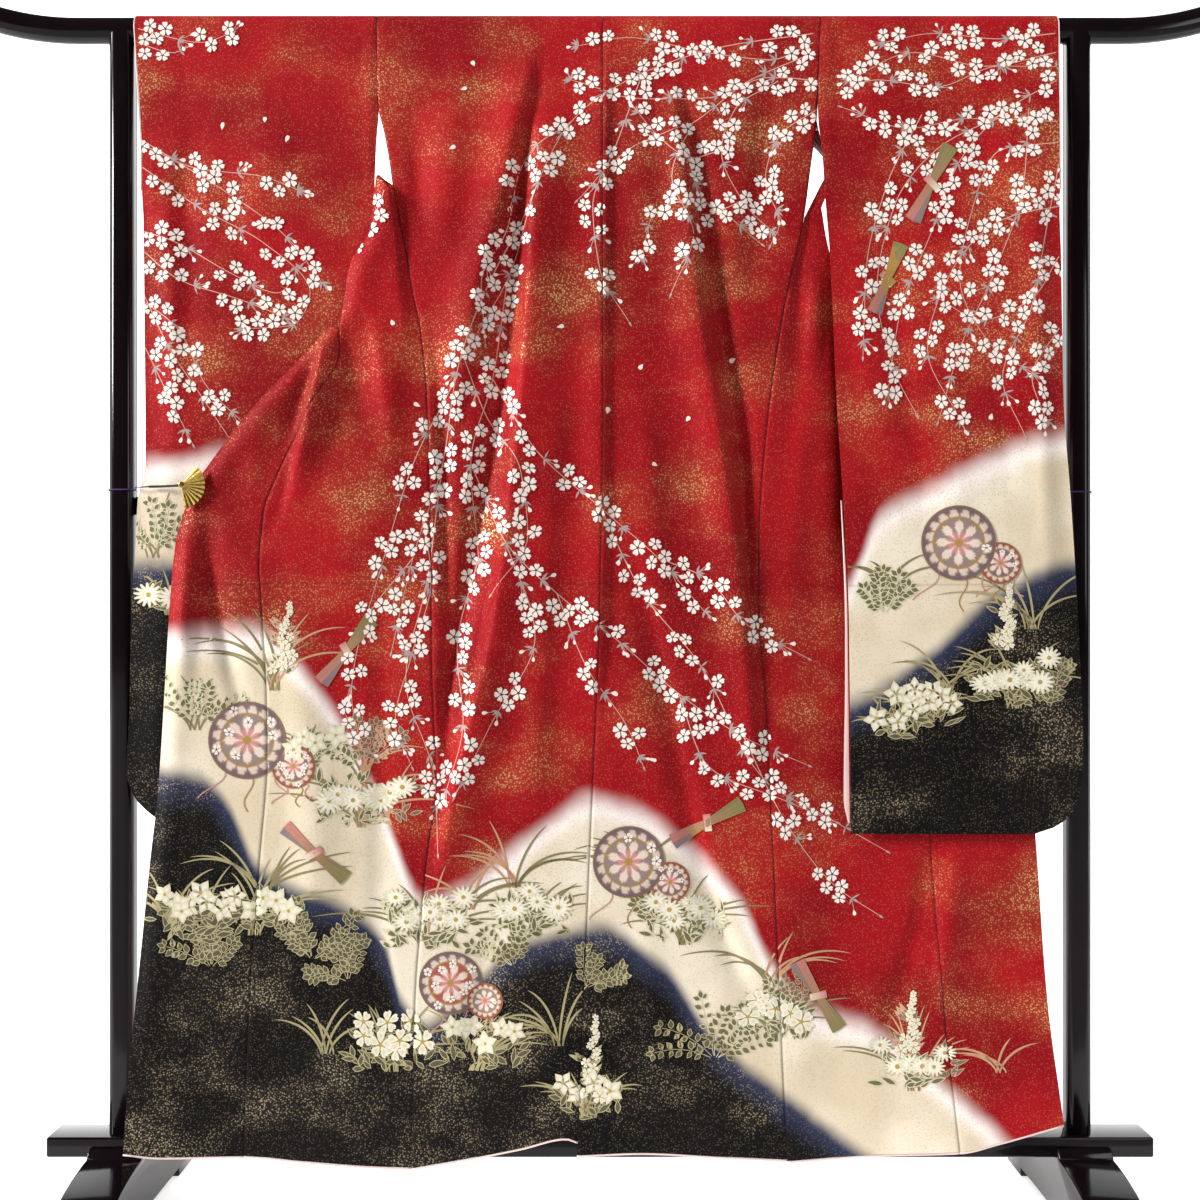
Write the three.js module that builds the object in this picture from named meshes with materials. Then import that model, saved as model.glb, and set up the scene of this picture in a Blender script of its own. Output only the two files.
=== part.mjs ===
// Furisode kimono hung over a lacquered kimono rack, back outward, with one front drawn round and clipped.
// Millimetres, +Z up, the viewer's side is -Y, feet on Z = 0.
import * as THREE from "three";

const GAP = 0.3; // clear distance at every seam and joint

// ---------- the rack's sizes ----------
const BEAM = { radius: 18, z: 1680, half: 740, tip: 930, bend: 420, sides: 24 };
const POST = { x: 677, side: 35, round: 11, arc: 4, cuts: 4 };
const RAIL = { z: 1005, high: 26, deep: 15 };
const BAR = { half: 776, deep: 61, bottom: 90, high: 28 };
const FOOT = { width: 77, half: 221, pad: 70, lift: 12, rise: 103 };

// ---------- the cloth's sizes ----------
const CLOTH = 2; // silk and lining together
const OVER = BEAM.radius + GAP + CLOTH / 2; // radius of the cloth's middle over the beam
const QUARTER = (OVER * Math.PI) / 2;
const SPLIT = 0.015; // angle that keeps the two halves apart on the shoulder fold
const HALF_SEAM = GAP / 2;
const ARC_STEPS = 6; // facets of the cloth over a quarter of the beam

const group = new THREE.Group();

function material(name, hex, rough, metal) {
  const made = new THREE.MeshStandardMaterial({ color: hex, roughness: rough, metalness: metal });
  made.name = name;
  return made;
}
const SILK = material("printed_silk", 0xb01a1e, 0.55, 0);
const LINING = material("silk_lining", 0xf0cfc8, 0.6, 0);
const LACQUER = material("black_lacquer", 0x0d0b0d, 0.15, 0);
const GOLD = material("gold_metal", 0xc9a24a, 0.3, 1);
const CORD = material("braided_cord", 0x2a1a3a, 0.8, 0);

function clamp(v, lo, hi) {
  return Math.min(hi, Math.max(lo, v));
}
function smooth(a, b, v) {
  const t = clamp((v - a) / (b - a), 0, 1);
  return t * t * (3 - 2 * t);
}
// Reads one named column of a table at a place in another column, both in order.
function column(table, by, name, at) {
  const up = table[0][by] < table[table.length - 1][by];
  const rows = up ? table : [...table].reverse();
  if (at <= rows[0][by]) return rows[0][name];
  for (let i = 1; i < rows.length; i++) {
    if (at <= rows[i][by]) {
      const t = (at - rows[i - 1][by]) / (rows[i][by] - rows[i - 1][by]);
      return rows[i - 1][name] + t * (rows[i][name] - rows[i - 1][name]);
    }
  }
  return rows[rows.length - 1][name];
}
function named(list, ...names) {
  return list.map((row) => Object.fromEntries(names.map((n, i) => [n, row[i]])));
}

// Closes a triangle list into a mesh that faces outward.
function solid(name, points, faces, made) {
  let volume = 0;
  for (const [a, b, c] of faces) {
    volume += points[a].dot(new THREE.Vector3().crossVectors(points[b], points[c]));
  }
  const index = volume > 0 ? faces.flat() : faces.flatMap(([a, b, c]) => [a, c, b]);
  const geometry = new THREE.BufferGeometry();
  geometry.setAttribute("position", new THREE.Float32BufferAttribute(points.flatMap((p) => p.toArray()), 3));
  geometry.setIndex(index);
  geometry.computeVertexNormals();
  const mesh = new THREE.Mesh(geometry, made);
  mesh.name = name;
  group.add(mesh);
  return mesh;
}

// A cloth wall about a grid of middle points, offset both ways along the grid's own normals.
function wall(name, grid, made, thick = CLOTH, squareFrom = Infinity) {
  const rows = grid.length;
  const cols = grid[0].length;
  const normals = grid.map((row, i) =>
    row.map((p, j) => {
      const down = grid[Math.min(i + 1, rows - 1)][j].clone().sub(grid[Math.max(i - 1, 0)][j]);
      const along = row[Math.min(j + 1, cols - 1)].clone().sub(row[Math.max(j - 1, 0)]);
      const normal = along.cross(down).normalize();
      const onEdge = j === 0 || j === cols - 1;
      // sewn edges are cut square, so that neighbours stay apart
      if (onEdge && i >= squareFrom) normal.setX(0).normalize();
      return normal;
    })
  );
  const points = [];
  for (const sign of [0.5, -0.5]) {
    grid.forEach((row, i) => {
      row.forEach((p, j) => points.push(p.clone().addScaledVector(normals[i][j], sign * thick)));
    });
  }
  const size = rows * cols;
  const at = (side, i, j) => side * size + i * cols + j;
  const faces = [];
  const quad = (a, b, c, d) => faces.push([a, b, c], [a, c, d]);
  for (let i = 0; i + 1 < rows; i++) {
    for (let j = 0; j + 1 < cols; j++) {
      quad(at(0, i, j), at(0, i + 1, j), at(0, i + 1, j + 1), at(0, i, j + 1));
      quad(at(1, i, j), at(1, i, j + 1), at(1, i + 1, j + 1), at(1, i + 1, j));
    }
  }
  for (let i = 0; i + 1 < rows; i++) {
    quad(at(0, i, 0), at(1, i, 0), at(1, i + 1, 0), at(0, i + 1, 0));
    quad(at(0, i, cols - 1), at(0, i + 1, cols - 1), at(1, i + 1, cols - 1), at(1, i, cols - 1));
  }
  for (let j = 0; j + 1 < cols; j++) {
    quad(at(0, 0, j), at(0, 0, j + 1), at(1, 0, j + 1), at(1, 0, j));
    quad(at(0, rows - 1, j), at(1, rows - 1, j), at(1, rows - 1, j + 1), at(0, rows - 1, j + 1));
  }
  return solid(name, points, faces, made);
}

// A round cord of even width along a route of points.
function cord(name, route, radius, sides, made) {
  const frames = route.map((p, i) => {
    const ahead = route[Math.min(i + 1, route.length - 1)].clone().sub(route[Math.max(i - 1, 0)]).normalize();
    const side = new THREE.Vector3(0, 0, 1).cross(ahead).normalize();
    return { p, side, up: ahead.clone().cross(side) };
  });
  const points = [];
  for (const f of frames) {
    for (let k = 0; k < sides; k++) {
      const a = (2 * Math.PI * k) / sides;
      const off = f.side.clone().multiplyScalar(Math.cos(a)).addScaledVector(f.up, Math.sin(a));
      points.push(f.p.clone().addScaledVector(off, radius));
    }
  }
  points.push(route[0].clone(), route[route.length - 1].clone());
  const faces = [];
  const rings = route.length;
  for (let i = 0; i + 1 < rings; i++) {
    for (let k = 0; k < sides; k++) {
      const a = i * sides + k;
      const b = i * sides + ((k + 1) % sides);
      faces.push([a, b, b + sides], [a, b + sides, a + sides]);
    }
  }
  for (let k = 0; k < sides; k++) {
    const next = (k + 1) % sides;
    faces.push([rings * sides, next, k]);
    faces.push([rings * sides + 1, (rings - 1) * sides + k, (rings - 1) * sides + next]);
  }
  return solid(name, points, faces, made);
}

// A prism of one outline, from one level of an axis to another.
function prism(name, outline, from, to, place, made) {
  const flat = outline.map(([u, v]) => new THREE.Vector2(u, v));
  if (THREE.ShapeUtils.isClockWise(flat)) flat.reverse();
  const caps = THREE.ShapeUtils.triangulateShape(flat, []);
  const n = flat.length;
  const points = [from, to].flatMap((w) => flat.map((q) => place(q.x, q.y, w)));
  const faces = [];
  for (const [a, b, c] of caps) faces.push([a, c, b], [a + n, b + n, c + n]);
  for (let i = 0; i < n; i++) {
    const j = (i + 1) % n;
    faces.push([i, j, j + n], [i, j + n, i + n]);
  }
  return solid(name, points, faces, made);
}

// ---------- the beam: a round bar whose ends sweep up ----------
function beamRise(x) {
  const past = Math.max(0, Math.abs(x) - BEAM.half);
  return BEAM.bend - Math.sqrt(BEAM.bend ** 2 - past ** 2);
}
const beamSteps = [BEAM.tip, 900, 870, 840, 810, 780, 755, BEAM.half];
const beamX = [...beamSteps.map((x) => -x), ...[...beamSteps].reverse()];
cord(
  "top_beam",
  beamX.map((x) => new THREE.Vector3(x, 0, BEAM.z + beamRise(x))),
  BEAM.radius,
  BEAM.sides,
  LACQUER
);

// ---------- the posts: rounded squares, saddled under the beam ----------
const SADDLE = BEAM.radius + GAP;
const POST_FLAT = POST.side / 2 - POST.round;
// Half widths of the post from front to back, so that both faces and the saddle share the same steps.
function postRows() {
  const corner = [];
  for (let k = 0; k <= POST.arc; k++) {
    const a = ((k / POST.arc) * Math.PI) / 2;
    corner.push({ y: -POST_FLAT - POST.round * Math.cos(a), half: POST_FLAT + POST.round * Math.sin(a) });
  }
  const flat = [];
  for (let k = 1; k < POST.cuts; k++) flat.push({ y: POST_FLAT * ((2 * k) / POST.cuts - 1), half: POST.side / 2 });
  return [...corner, ...flat, ...[...corner].reverse().map((q) => ({ y: -q.y, half: q.half }))];
}
function post(name, centre) {
  const base = BAR.bottom + BAR.high + GAP;
  const rows = postRows();
  const points = rows.flatMap(({ y, half }) => {
    const top = BEAM.z - Math.sqrt(SADDLE ** 2 - y ** 2);
    return [[half, base], [-half, base], [-half, top], [half, top]].map(
      ([x, z]) => new THREE.Vector3(centre + x, y, z)
    );
  });
  const faces = [[0, 1, 2], [0, 2, 3]];
  for (let i = 0; i + 1 < rows.length; i++) {
    for (let k = 0; k < 4; k++) {
      const a = 4 * i + k;
      const b = 4 * i + ((k + 1) % 4);
      faces.push([a, a + 4, b + 4], [a, b + 4, b]);
    }
  }
  const end = 4 * (rows.length - 1);
  faces.push([end, end + 2, end + 1], [end, end + 3, end + 2]);
  solid(name, points, faces, LACQUER);
}
post("post_left", -POST.x);
post("post_right", POST.x);

// ---------- the rail and the crossbar ----------
const railHalf = POST.x - POST.side / 2 - GAP;
const acrossX = (u, v, w) => new THREE.Vector3(w, u, v);
function box(u0, u1, v0, v1) {
  return [[u0, v0], [u1, v0], [u1, v1], [u0, v1]];
}
const railLow = RAIL.z - RAIL.high / 2;
const railOutline = box(-RAIL.deep / 2, RAIL.deep / 2, railLow, railLow + RAIL.high);
prism("middle_rail", railOutline, -railHalf, railHalf, acrossX, LACQUER);
prism(
  "crossbar",
  box(-BAR.deep / 2, BAR.deep / 2, BAR.bottom, BAR.bottom + BAR.high),
  -BAR.half,
  BAR.half,
  acrossX,
  LACQUER
);

// ---------- the feet: notched for the crossbar, raised between two pads ----------
const footHalfOutline = named(
  [[BAR.deep / 2 + GAP, BAR.bottom - GAP], [BAR.deep / 2 + GAP, FOOT.rise], [36, FOOT.rise + 1], [41, 99],
    [43.5, 92], [60, 90.5], [80, 88], [115, 82], [147, 74], [175, 58], [200, 38], [215, 24], [FOOT.half, 12],
    [FOOT.half, 0], [FOOT.half - FOOT.pad, 0], [FOOT.half - FOOT.pad - 14, FOOT.lift]],
  "y",
  "z"
);
function foot(name, centre) {
  const near = footHalfOutline.map((q) => [q.y, q.z]);
  const far = [...footHalfOutline].reverse().map((q) => [-q.y, q.z]);
  const place = (u, v, w) => new THREE.Vector3(w, u, v);
  prism(name, [...near, ...far], centre - FOOT.width / 2, centre + FOOT.width / 2, place, LACQUER);
}
foot("foot_left", -POST.x);
foot("foot_right", POST.x);

// ---------- depths: how far toward the viewer each layer hangs ----------
const BACK_DEPTH = named(
  [[1680, -19.3, -19.3, -19.3], [1600, -26, -26, -24], [1440, -34, -33, -27], [1200, -40, -37, -29],
    [900, -43, -40, -31], [500, -44, -42, -35], [90, -44, -43, -38]],
  "z",
  "left",
  "centre",
  "right"
);
const SLEEVE_DEPTH = named(
  [[1680, -19.3, 19.3, -19.3, 19.3], [1600, -25, 9, -27, 8], [1500, -29, -8, -36, -17],
    [1400, -32, -17, -43, -31], [1200, -33, -20, -45, -32], [560, -33, -22, -48, -34],
    [530, -30, -25, -44, -38]],
  "z",
  "leftNear",
  "leftFar",
  "rightNear",
  "rightFar"
);

// ---------- the main folds: a line down the cloth, its reach to each side, its height outward ----------
const BACK_FOLDS = [
  { line: [[-94, 1660], [-108, 1560], [-133, 1440], [-168, 1318], [-202, 1122]], left: 34, right: 9, out: 6 },
  { line: [[-98, 1587], [-108, 1458], [-119, 1360], [-139, 1150], [-164, 1010], [-188, 871], [-218, 732], [-234, 592]],
    left: 16, right: 16, out: -6 },
  { line: [[-90, 1572], [-100, 1290], [-118, 1080], [-146, 843], [-185, 676], [-236, 467]], left: 10, right: 42, out: 7 },
  { line: [[101, 1601], [126, 1444], [136, 1290], [163, 1122], [191, 927], [212, 787], [240, 600]],
    left: 36, right: 9, out: 7 },
  { line: [[112, 1572], [144, 1388], [170, 1248], [198, 1066], [211, 927], [217, 815]], left: 10, right: 18, out: -5 },
  { line: [[45, 927], [77, 815], [100, 704], [128, 564], [181, 383], [222, 286]], left: 22, right: 14, out: -3.5 },
  { line: [[8, 1640], [4, 1300], [2, 950], [-6, 700]], left: 26, right: 9, out: 3 },
  { line: [[-236, 1240], [-222, 1100], [-218, 950], [-215, 800]], left: 10, right: 12, out: -4 },
];
// Height of one fold at a point: strongest in the middle of its line and gone at both ends.
function foldAt(fold, x, z) {
  const line = fold.line;
  const top = line[0][1];
  const low = line[line.length - 1][1];
  if (z > top + 30 || z < low - 30) return 0;
  const along = clamp(z, low, top);
  let at = line[0][0];
  for (let i = 1; i < line.length; i++) {
    const [x0, z0] = line[i - 1];
    const [x1, z1] = line[i];
    if (along <= z0 && along >= z1) at = x0 + ((z0 - along) / (z0 - z1)) * (x1 - x0);
  }
  const reach = x < at ? fold.left : fold.right;
  const fade = smooth(top + 30, top - 120, z) * smooth(low - 30, low + 120, z);
  return fold.out * fade * Math.exp(-(((x - at) / reach) ** 2));
}
function folds(list, x, z) {
  return list.reduce((sum, fold) => sum + foldAt(fold, x, z), 0);
}

// ---------- the body's back ----------
const BACK_LEFT_EDGE = named(
  [[1692, -315], [1557, -310], [1529, -303], [1487, -295], [1437, -288], [1360, -272], [1304, -262], [1247, -250],
    [1150, -241], [1010, -237], [899, -235], [787, -234], [676, -230], [606, -228], [523, -239], [453, -246],
    [314, -257], [80, -263]],
  "z",
  "x"
);
const CENTRE_SEAM = named([[1692, 4], [1150, 4], [871, 0], [523, -14], [98, -32]], "z", "x");
const BACK_RIGHT_EDGE = named(
  [[1692, 311], [1556, 305], [1474, 295], [1407, 286], [1278, 258], [1123, 235], [969, 223], [871, 221], [731, 231],
    [522, 242], [312, 251], [88, 261]],
  "z",
  "x"
);
const HEM_BACK_LEFT = named([[0, 80], [0.42, 97], [0.66, 108], [0.93, 122], [1, 117]], "across", "z");
const HEM_BACK_RIGHT = named([[0, 98], [0.3, 101], [0.68, 95], [1, 90]], "across", "z");
const HEM_ROLL = 3; // how far the rolled lining reaches below each hem

function backDepth(x, z) {
  const left = column(BACK_LEFT_EDGE, "z", "x", z);
  const right = column(BACK_RIGHT_EDGE, "z", "x", z);
  const centre = column(CENTRE_SEAM, "z", "x", z);
  const names = x < centre ? ["centre", "left"] : ["centre", "right"];
  const share = x < centre ? (centre - x) / (centre - left) : (x - centre) / (right - centre);
  const from = column(BACK_DEPTH, "z", names[0], z);
  const to = column(BACK_DEPTH, "z", names[1], z);
  const edge = smooth(0, 0.12, 1 - share); // the side seam itself stays on the table
  const below = smooth(BEAM.z, BEAM.z - 70, z);
  return from + (to - from) * clamp(share, 0, 1) - edge * below * folds(BACK_FOLDS, x, z);
}
// Levels down one layer: along the beam's curve, then straight down to the hem.
function levels(count) {
  const list = [];
  for (let k = 0; k <= ARC_STEPS; k++) list.push({ angle: (k / ARC_STEPS) * (Math.PI / 2), down: 0 });
  for (let k = 1; k <= count; k++) list.push({ angle: Math.PI / 2, down: k / count });
  return list;
}
// One hanging layer: side is -1 toward the viewer and 1 away.
function layer(side, level, x, depth, foot) {
  const angle = Math.max(level.angle, SPLIT);
  if (level.down === 0) {
    return new THREE.Vector3(x(BEAM.z), side * OVER * Math.sin(angle), BEAM.z + OVER * Math.cos(angle));
  }
  const z = BEAM.z + level.down * (foot - BEAM.z);
  return new THREE.Vector3(x(z), depth(x(z), z), z);
}
function backPanel(name, edgeA, edgeB, hem, columns, rows) {
  const grid = levels(rows).map((level) => {
    const row = [];
    for (let j = 0; j <= columns; j++) {
      const u = j / columns;
      const a = (z) => column(edgeA, "z", "x", z) + HALF_SEAM;
      const b = (z) => column(edgeB, "z", "x", z) - HALF_SEAM;
      const x = (z) => a(z) + (b(z) - a(z)) * u;
      row.push(layer(-1, level, x, backDepth, column(hem, "across", "z", u)));
    }
    return row;
  });
  wall(name, grid, SILK, CLOTH, 0);
  return grid;
}
const backLeft = backPanel("back_left", BACK_LEFT_EDGE, CENTRE_SEAM, HEM_BACK_LEFT, 11, 16);
const backRight = backPanel("back_right", CENTRE_SEAM, BACK_RIGHT_EDGE, HEM_BACK_RIGHT, 11, 16);

// ---------- the sleeves: a near and a far half each, joined at the foot and down the lower cuff ----------
const SLEEVE_LEFT = named(
  [[1699, -656, -315.3], [1567, -646, -310.3], [1502, -642, -314], [1431, -641, -316], [1291, -639, -317],
    [1067, -637, -318], [1011, -648, -318], [927, -652, -318], [871, -656, -318], [703, -660, -318],
    [633, -664, -318], [600, -655, -318], [566, -623, -321], [545, -580, -330]],
  "z",
  "outer",
  "inner"
);
const SLEEVE_RIGHT = named(
  [[1699, 645, 311.3], [1550, 643, 305.3], [1500, 642, 310], [1428, 641, 314], [1351, 643, 320], [1149, 646, 329],
    [1010, 656, 338], [843, 666, 346], [801, 668, 346.5], [648, 673, 348], [592, 666, 348.5], [558, 640, 349],
    [545, 605, 349]],
  "z",
  "outer",
  "inner"
);
const FAR_SHARE = 0.3; // the far half shows the near half's folds this much
const SLEEVE_FOOT = 545;
const CUFF_END = 1450; // the cuff is open above this and sewn up below
const LEFT_SLEEVE_FOLDS = [
  { line: [[-588, 1460], [-572, 1340], [-580, 1180]], left: 14, right: 20, out: -3 },
  { line: [[-600, 1490], [-606, 1350], [-600, 1200], [-596, 1080]], left: 12, right: 16, out: 3 },
  { line: [[-450, 1600], [-470, 1450], [-520, 1300]], left: 30, right: 30, out: 2 },
];
const RIGHT_SLEEVE_FOLDS = [
  { line: [[400, 1380], [420, 1200], [445, 1050], [452, 960]], left: 20, right: 18, out: -4 },
  { line: [[352, 1420], [365, 1250], [380, 1080]], left: 14, right: 26, out: 3 },
  { line: [[470, 1300], [490, 1100], [500, 940]], left: 22, right: 26, out: 3 },
  { line: [[555, 1250], [562, 1130], [570, 1000]], left: 18, right: 18, out: -3 },
];
function sleeveHalf(name, table, side, depthName, foldList, columns, rows) {
  const grid = levels(rows).map((level) => {
    const row = [];
    for (let j = 0; j <= columns; j++) {
      const u = j / columns;
      const x = (z) => {
        const outer = column(table, "z", "outer", z);
        const inner = column(table, "z", "inner", z);
        return outer + (inner - outer) * u;
      };
      const own = depthName.endsWith("Near");
      const depth = (px, z) => {
        const free = column(SLEEVE_DEPTH, "z", depthName, z) - (own ? 1 : FAR_SHARE) * folds(foldList, px, z);
        const near = column(SLEEVE_DEPTH, "z", depthName.replace("Far", "Near"), z);
        const far = column(SLEEVE_DEPTH, "z", depthName.replace("Near", "Far"), z);
        const sewn = (near + far) / 2 + (own ? -1 : 1) * (CLOTH / 2 + HALF_SEAM);
        const down = (1 - smooth(0, 0.14, u)) * smooth(CUFF_END, CUFF_END - 50, z);
        const joined = Math.max(down, 1 - smooth(SLEEVE_FOOT, SLEEVE_FOOT + 60, z));
        return free + joined * (sewn - free);
      };
      row.push(layer(side, level, x, depth, SLEEVE_FOOT));
    }
    return row;
  });
  wall(name, grid, SILK);
  return grid;
}
const leftNear = sleeveHalf("sleeve_left_back", SLEEVE_LEFT, -1, "leftNear", LEFT_SLEEVE_FOLDS, 7, 14);
const leftFar = sleeveHalf("sleeve_left_front", SLEEVE_LEFT, 1, "leftFar", LEFT_SLEEVE_FOLDS, 7, 14);
const rightNear = sleeveHalf("sleeve_right_back", SLEEVE_RIGHT, -1, "rightNear", RIGHT_SLEEVE_FOLDS, 7, 14);
const rightFar = sleeveHalf("sleeve_right_front", SLEEVE_RIGHT, 1, "rightFar", RIGHT_SLEEVE_FOLDS, 7, 14);

// ---------- the fronts: rows from the beam's far side, through the slit, then opened out like a fan ----------
// Each row names its side-seam end and its front-edge end, in three coordinates.
const FRONT_COLUMNS = ["sx", "sy", "sz", "fx", "fy", "fz"];
const LEFT_NECK = named(
  [[-311, 19.3, 1680, -95, 19.3, 1680], [-309, 16, 1640, -118, 17, 1640], [-306, 11, 1590, -160, 13, 1592],
    [-300, 7, 1545, -210, 9, 1548], [-288, 2, 1500, -262, 0, 1502], [-287, -10, 1474, -270, -14, 1478],
    [-296, -20, 1455, -294, -30, 1462]],
  ...FRONT_COLUMNS
);
const RIGHT_NECK = named(
  [[305, 19.3, 1680, 95, 19.3, 1680], [305, 17, 1640, 125, 17, 1640], [306, 14, 1590, 190, 14, 1590],
    [311, 8, 1545, 262, 12, 1548], [319, 0, 1508, 312, 10, 1512], [320, -10, 1478, 329, -2, 1484],
    [307, -20, 1448, 325, -18, 1456]],
  ...FRONT_COLUMNS
);
const LEAF_LEFT_EDGE = named(
  [[-309, 1424], [-320, 1392], [-331, 1369], [-348, 1341], [-360, 1281], [-376, 1253], [-417, 1209], [-459, 1166],
    [-501, 1118], [-547, 1056], [-570, 1022], [-580, 990], [-590, 954], [-598, 871], [-605, 759], [-615, 606],
    [-626, 509], [-640, 370], [-656, 203], [-663, 101]],
  "x",
  "z"
);
const LEAF_RIGHT_EDGE = named(
  [[311, 1422], [321, 1365], [352, 1300], [400, 1225], [460, 1150], [520, 1080], [575, 1024], [584, 960], [590, 860],
    [598, 700], [611, 540], [626, 312], [648, 138]],
  "x",
  "z"
);
const LEAF_LEFT_BOTTOM = named([[0, 81], [0.12, 83], [0.38, 91], [0.58, 98], [0.87, 96], [1, 101]], "across", "z");
const LEAF_RIGHT_BOTTOM = named([[0, 88], [0.3, 96], [0.63, 100], [0.77, 113], [1, 138]], "across", "z");
const LEFT_START = 1436; // where the left side seam begins
const RIGHT_START = 1407;
const LEAF_LEFT_DEPTH = named([[1440, -45], [1100, -46], [800, -47], [90, -46]], "z", "y");
const LEAF_RIGHT_DEPTH = named([[1440, -24], [1200, -23], [600, -25], [200, -34], [90, -36]], "z", "y");
const LEFT_FOLDS = [
  { line: [[-362, 1270], [-372, 1200], [-402, 1110], [-428, 1010]], left: 12, right: 22, out: 6 },
  { line: [[-352, 1250], [-340, 1180], [-322, 1080]], left: 12, right: 14, out: -4 },
  { line: [[-318, 1300], [-300, 1180], [-285, 1060]], left: 14, right: 22, out: 3 },
  { line: [[-430, 1060], [-452, 985], [-476, 950]], left: 9, right: 9, out: -4 },
  { line: [[-548, 1000], [-540, 900], [-520, 800], [-492, 690]], left: 12, right: 16, out: -6 },
  { line: [[-572, 960], [-576, 860], [-580, 740]], left: 14, right: 14, out: 4 },
  { line: [[-420, 850], [-400, 600], [-395, 400]], left: 30, right: 34, out: 3 },
  { line: [[-300, 900], [-300, 700], [-300, 500], [-310, 300]], left: 22, right: 22, out: -4 },
];
const RIGHT_FOLDS = [
  { line: [[318, 1330], [330, 1150], [340, 980]], left: 16, right: 16, out: -2 },
  { line: [[300, 1200], [270, 1000], [262, 820]], left: 16, right: 20, out: 2 },
  { line: [[470, 560], [448, 420], [410, 300], [390, 220]], left: 14, right: 20, out: -3.5 },
  { line: [[500, 540], [486, 400], [470, 260]], left: 12, right: 24, out: 3 },
];
function alongEdge(edge, share) {
  const lengths = [0];
  for (let i = 1; i < edge.length; i++) {
    lengths.push(lengths[i - 1] + Math.hypot(edge[i].x - edge[i - 1].x, edge[i].z - edge[i - 1].z));
  }
  const want = share * lengths[lengths.length - 1];
  let i = 1;
  while (i < edge.length - 1 && lengths[i] < want) i++;
  const t = (want - lengths[i - 1]) / (lengths[i] - lengths[i - 1]);
  return [edge[i - 1].x + t * (edge[i].x - edge[i - 1].x), edge[i - 1].z + t * (edge[i].z - edge[i - 1].z)];
}
const SLIT_EASE = 1.6; // extra room at the top of the side seam, where the front turns through the slit
// A fan-shaped leaf of cloth, as rows between the side seam and the front edge, each a list of shares across.
function leafPoint(leaf, down, across) {
  const seamFoot = column(leaf.bottom, "across", "z", 0);
  const sz = leaf.start + down * (seamFoot - leaf.start);
  const sx = column(leaf.seam, "z", "x", sz) + leaf.sign * (GAP + SLIT_EASE * (1 - smooth(0, 0.07, down)));
  const [fx, fz] = alongEdge(leaf.edge, down);
  const foot = column(leaf.bottom, "across", "z", across);
  const straight = seamFoot + across * (column(leaf.bottom, "across", "z", 1) - seamFoot);
  const x = sx + across * (fx - sx);
  const z = sz + across * (fz - sz) + down ** 6 * (foot - straight);
  const seamY = column(leaf.seam, "z", "y", sz);
  const leafY = column(leaf.depth, "z", "y", z);
  const in_ = smooth(0, 0.25, across);
  const y = seamY + in_ * (leafY - seamY) - in_ * smooth(0, 0.12, down) * folds(leaf.folds, x, z);
  return new THREE.Vector3(x, y, z);
}
const LEFT_LEAF = {
  start: LEFT_START, seam: backLeft.map((row) => row[0]), sign: -1, edge: LEAF_LEFT_EDGE,
  bottom: LEAF_LEFT_BOTTOM, depth: LEAF_LEFT_DEPTH, folds: LEFT_FOLDS, neck: LEFT_NECK,
  seamShare: named([[0, 0.7], [0.3, 0.7], [0.55, 0.62], [1, 0.58]], "down", "across"),
};
const RIGHT_LEAF = {
  start: RIGHT_START, seam: backRight.map((row) => row[row.length - 1]), sign: 1, edge: LEAF_RIGHT_EDGE,
  bottom: LEAF_RIGHT_BOTTOM, depth: LEAF_RIGHT_DEPTH, folds: RIGHT_FOLDS, neck: RIGHT_NECK,
  seamShare: named([[0, 0.7], [0.3, 0.68], [0.6, 0.6], [1, 0.625]], "down", "across"),
};
const OKUMI_TOP = 0.12; // the narrow panel starts this far down the leaf
const PLEATS = { count: 3.5, high: 3 }; // small gathers on the far side, between the beam and the slit

function neckPoint(row, across, spread) {
  const swell = PLEATS.high * spread * Math.sin(across * PLEATS.count * 2 * Math.PI) * Math.sin(Math.PI * across);
  return new THREE.Vector3(
    row.sx + across * (row.fx - row.sx),
    row.sy + across * (row.fy - row.sy) + swell,
    row.sz + across * (row.fz - row.sz)
  );
}
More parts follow.
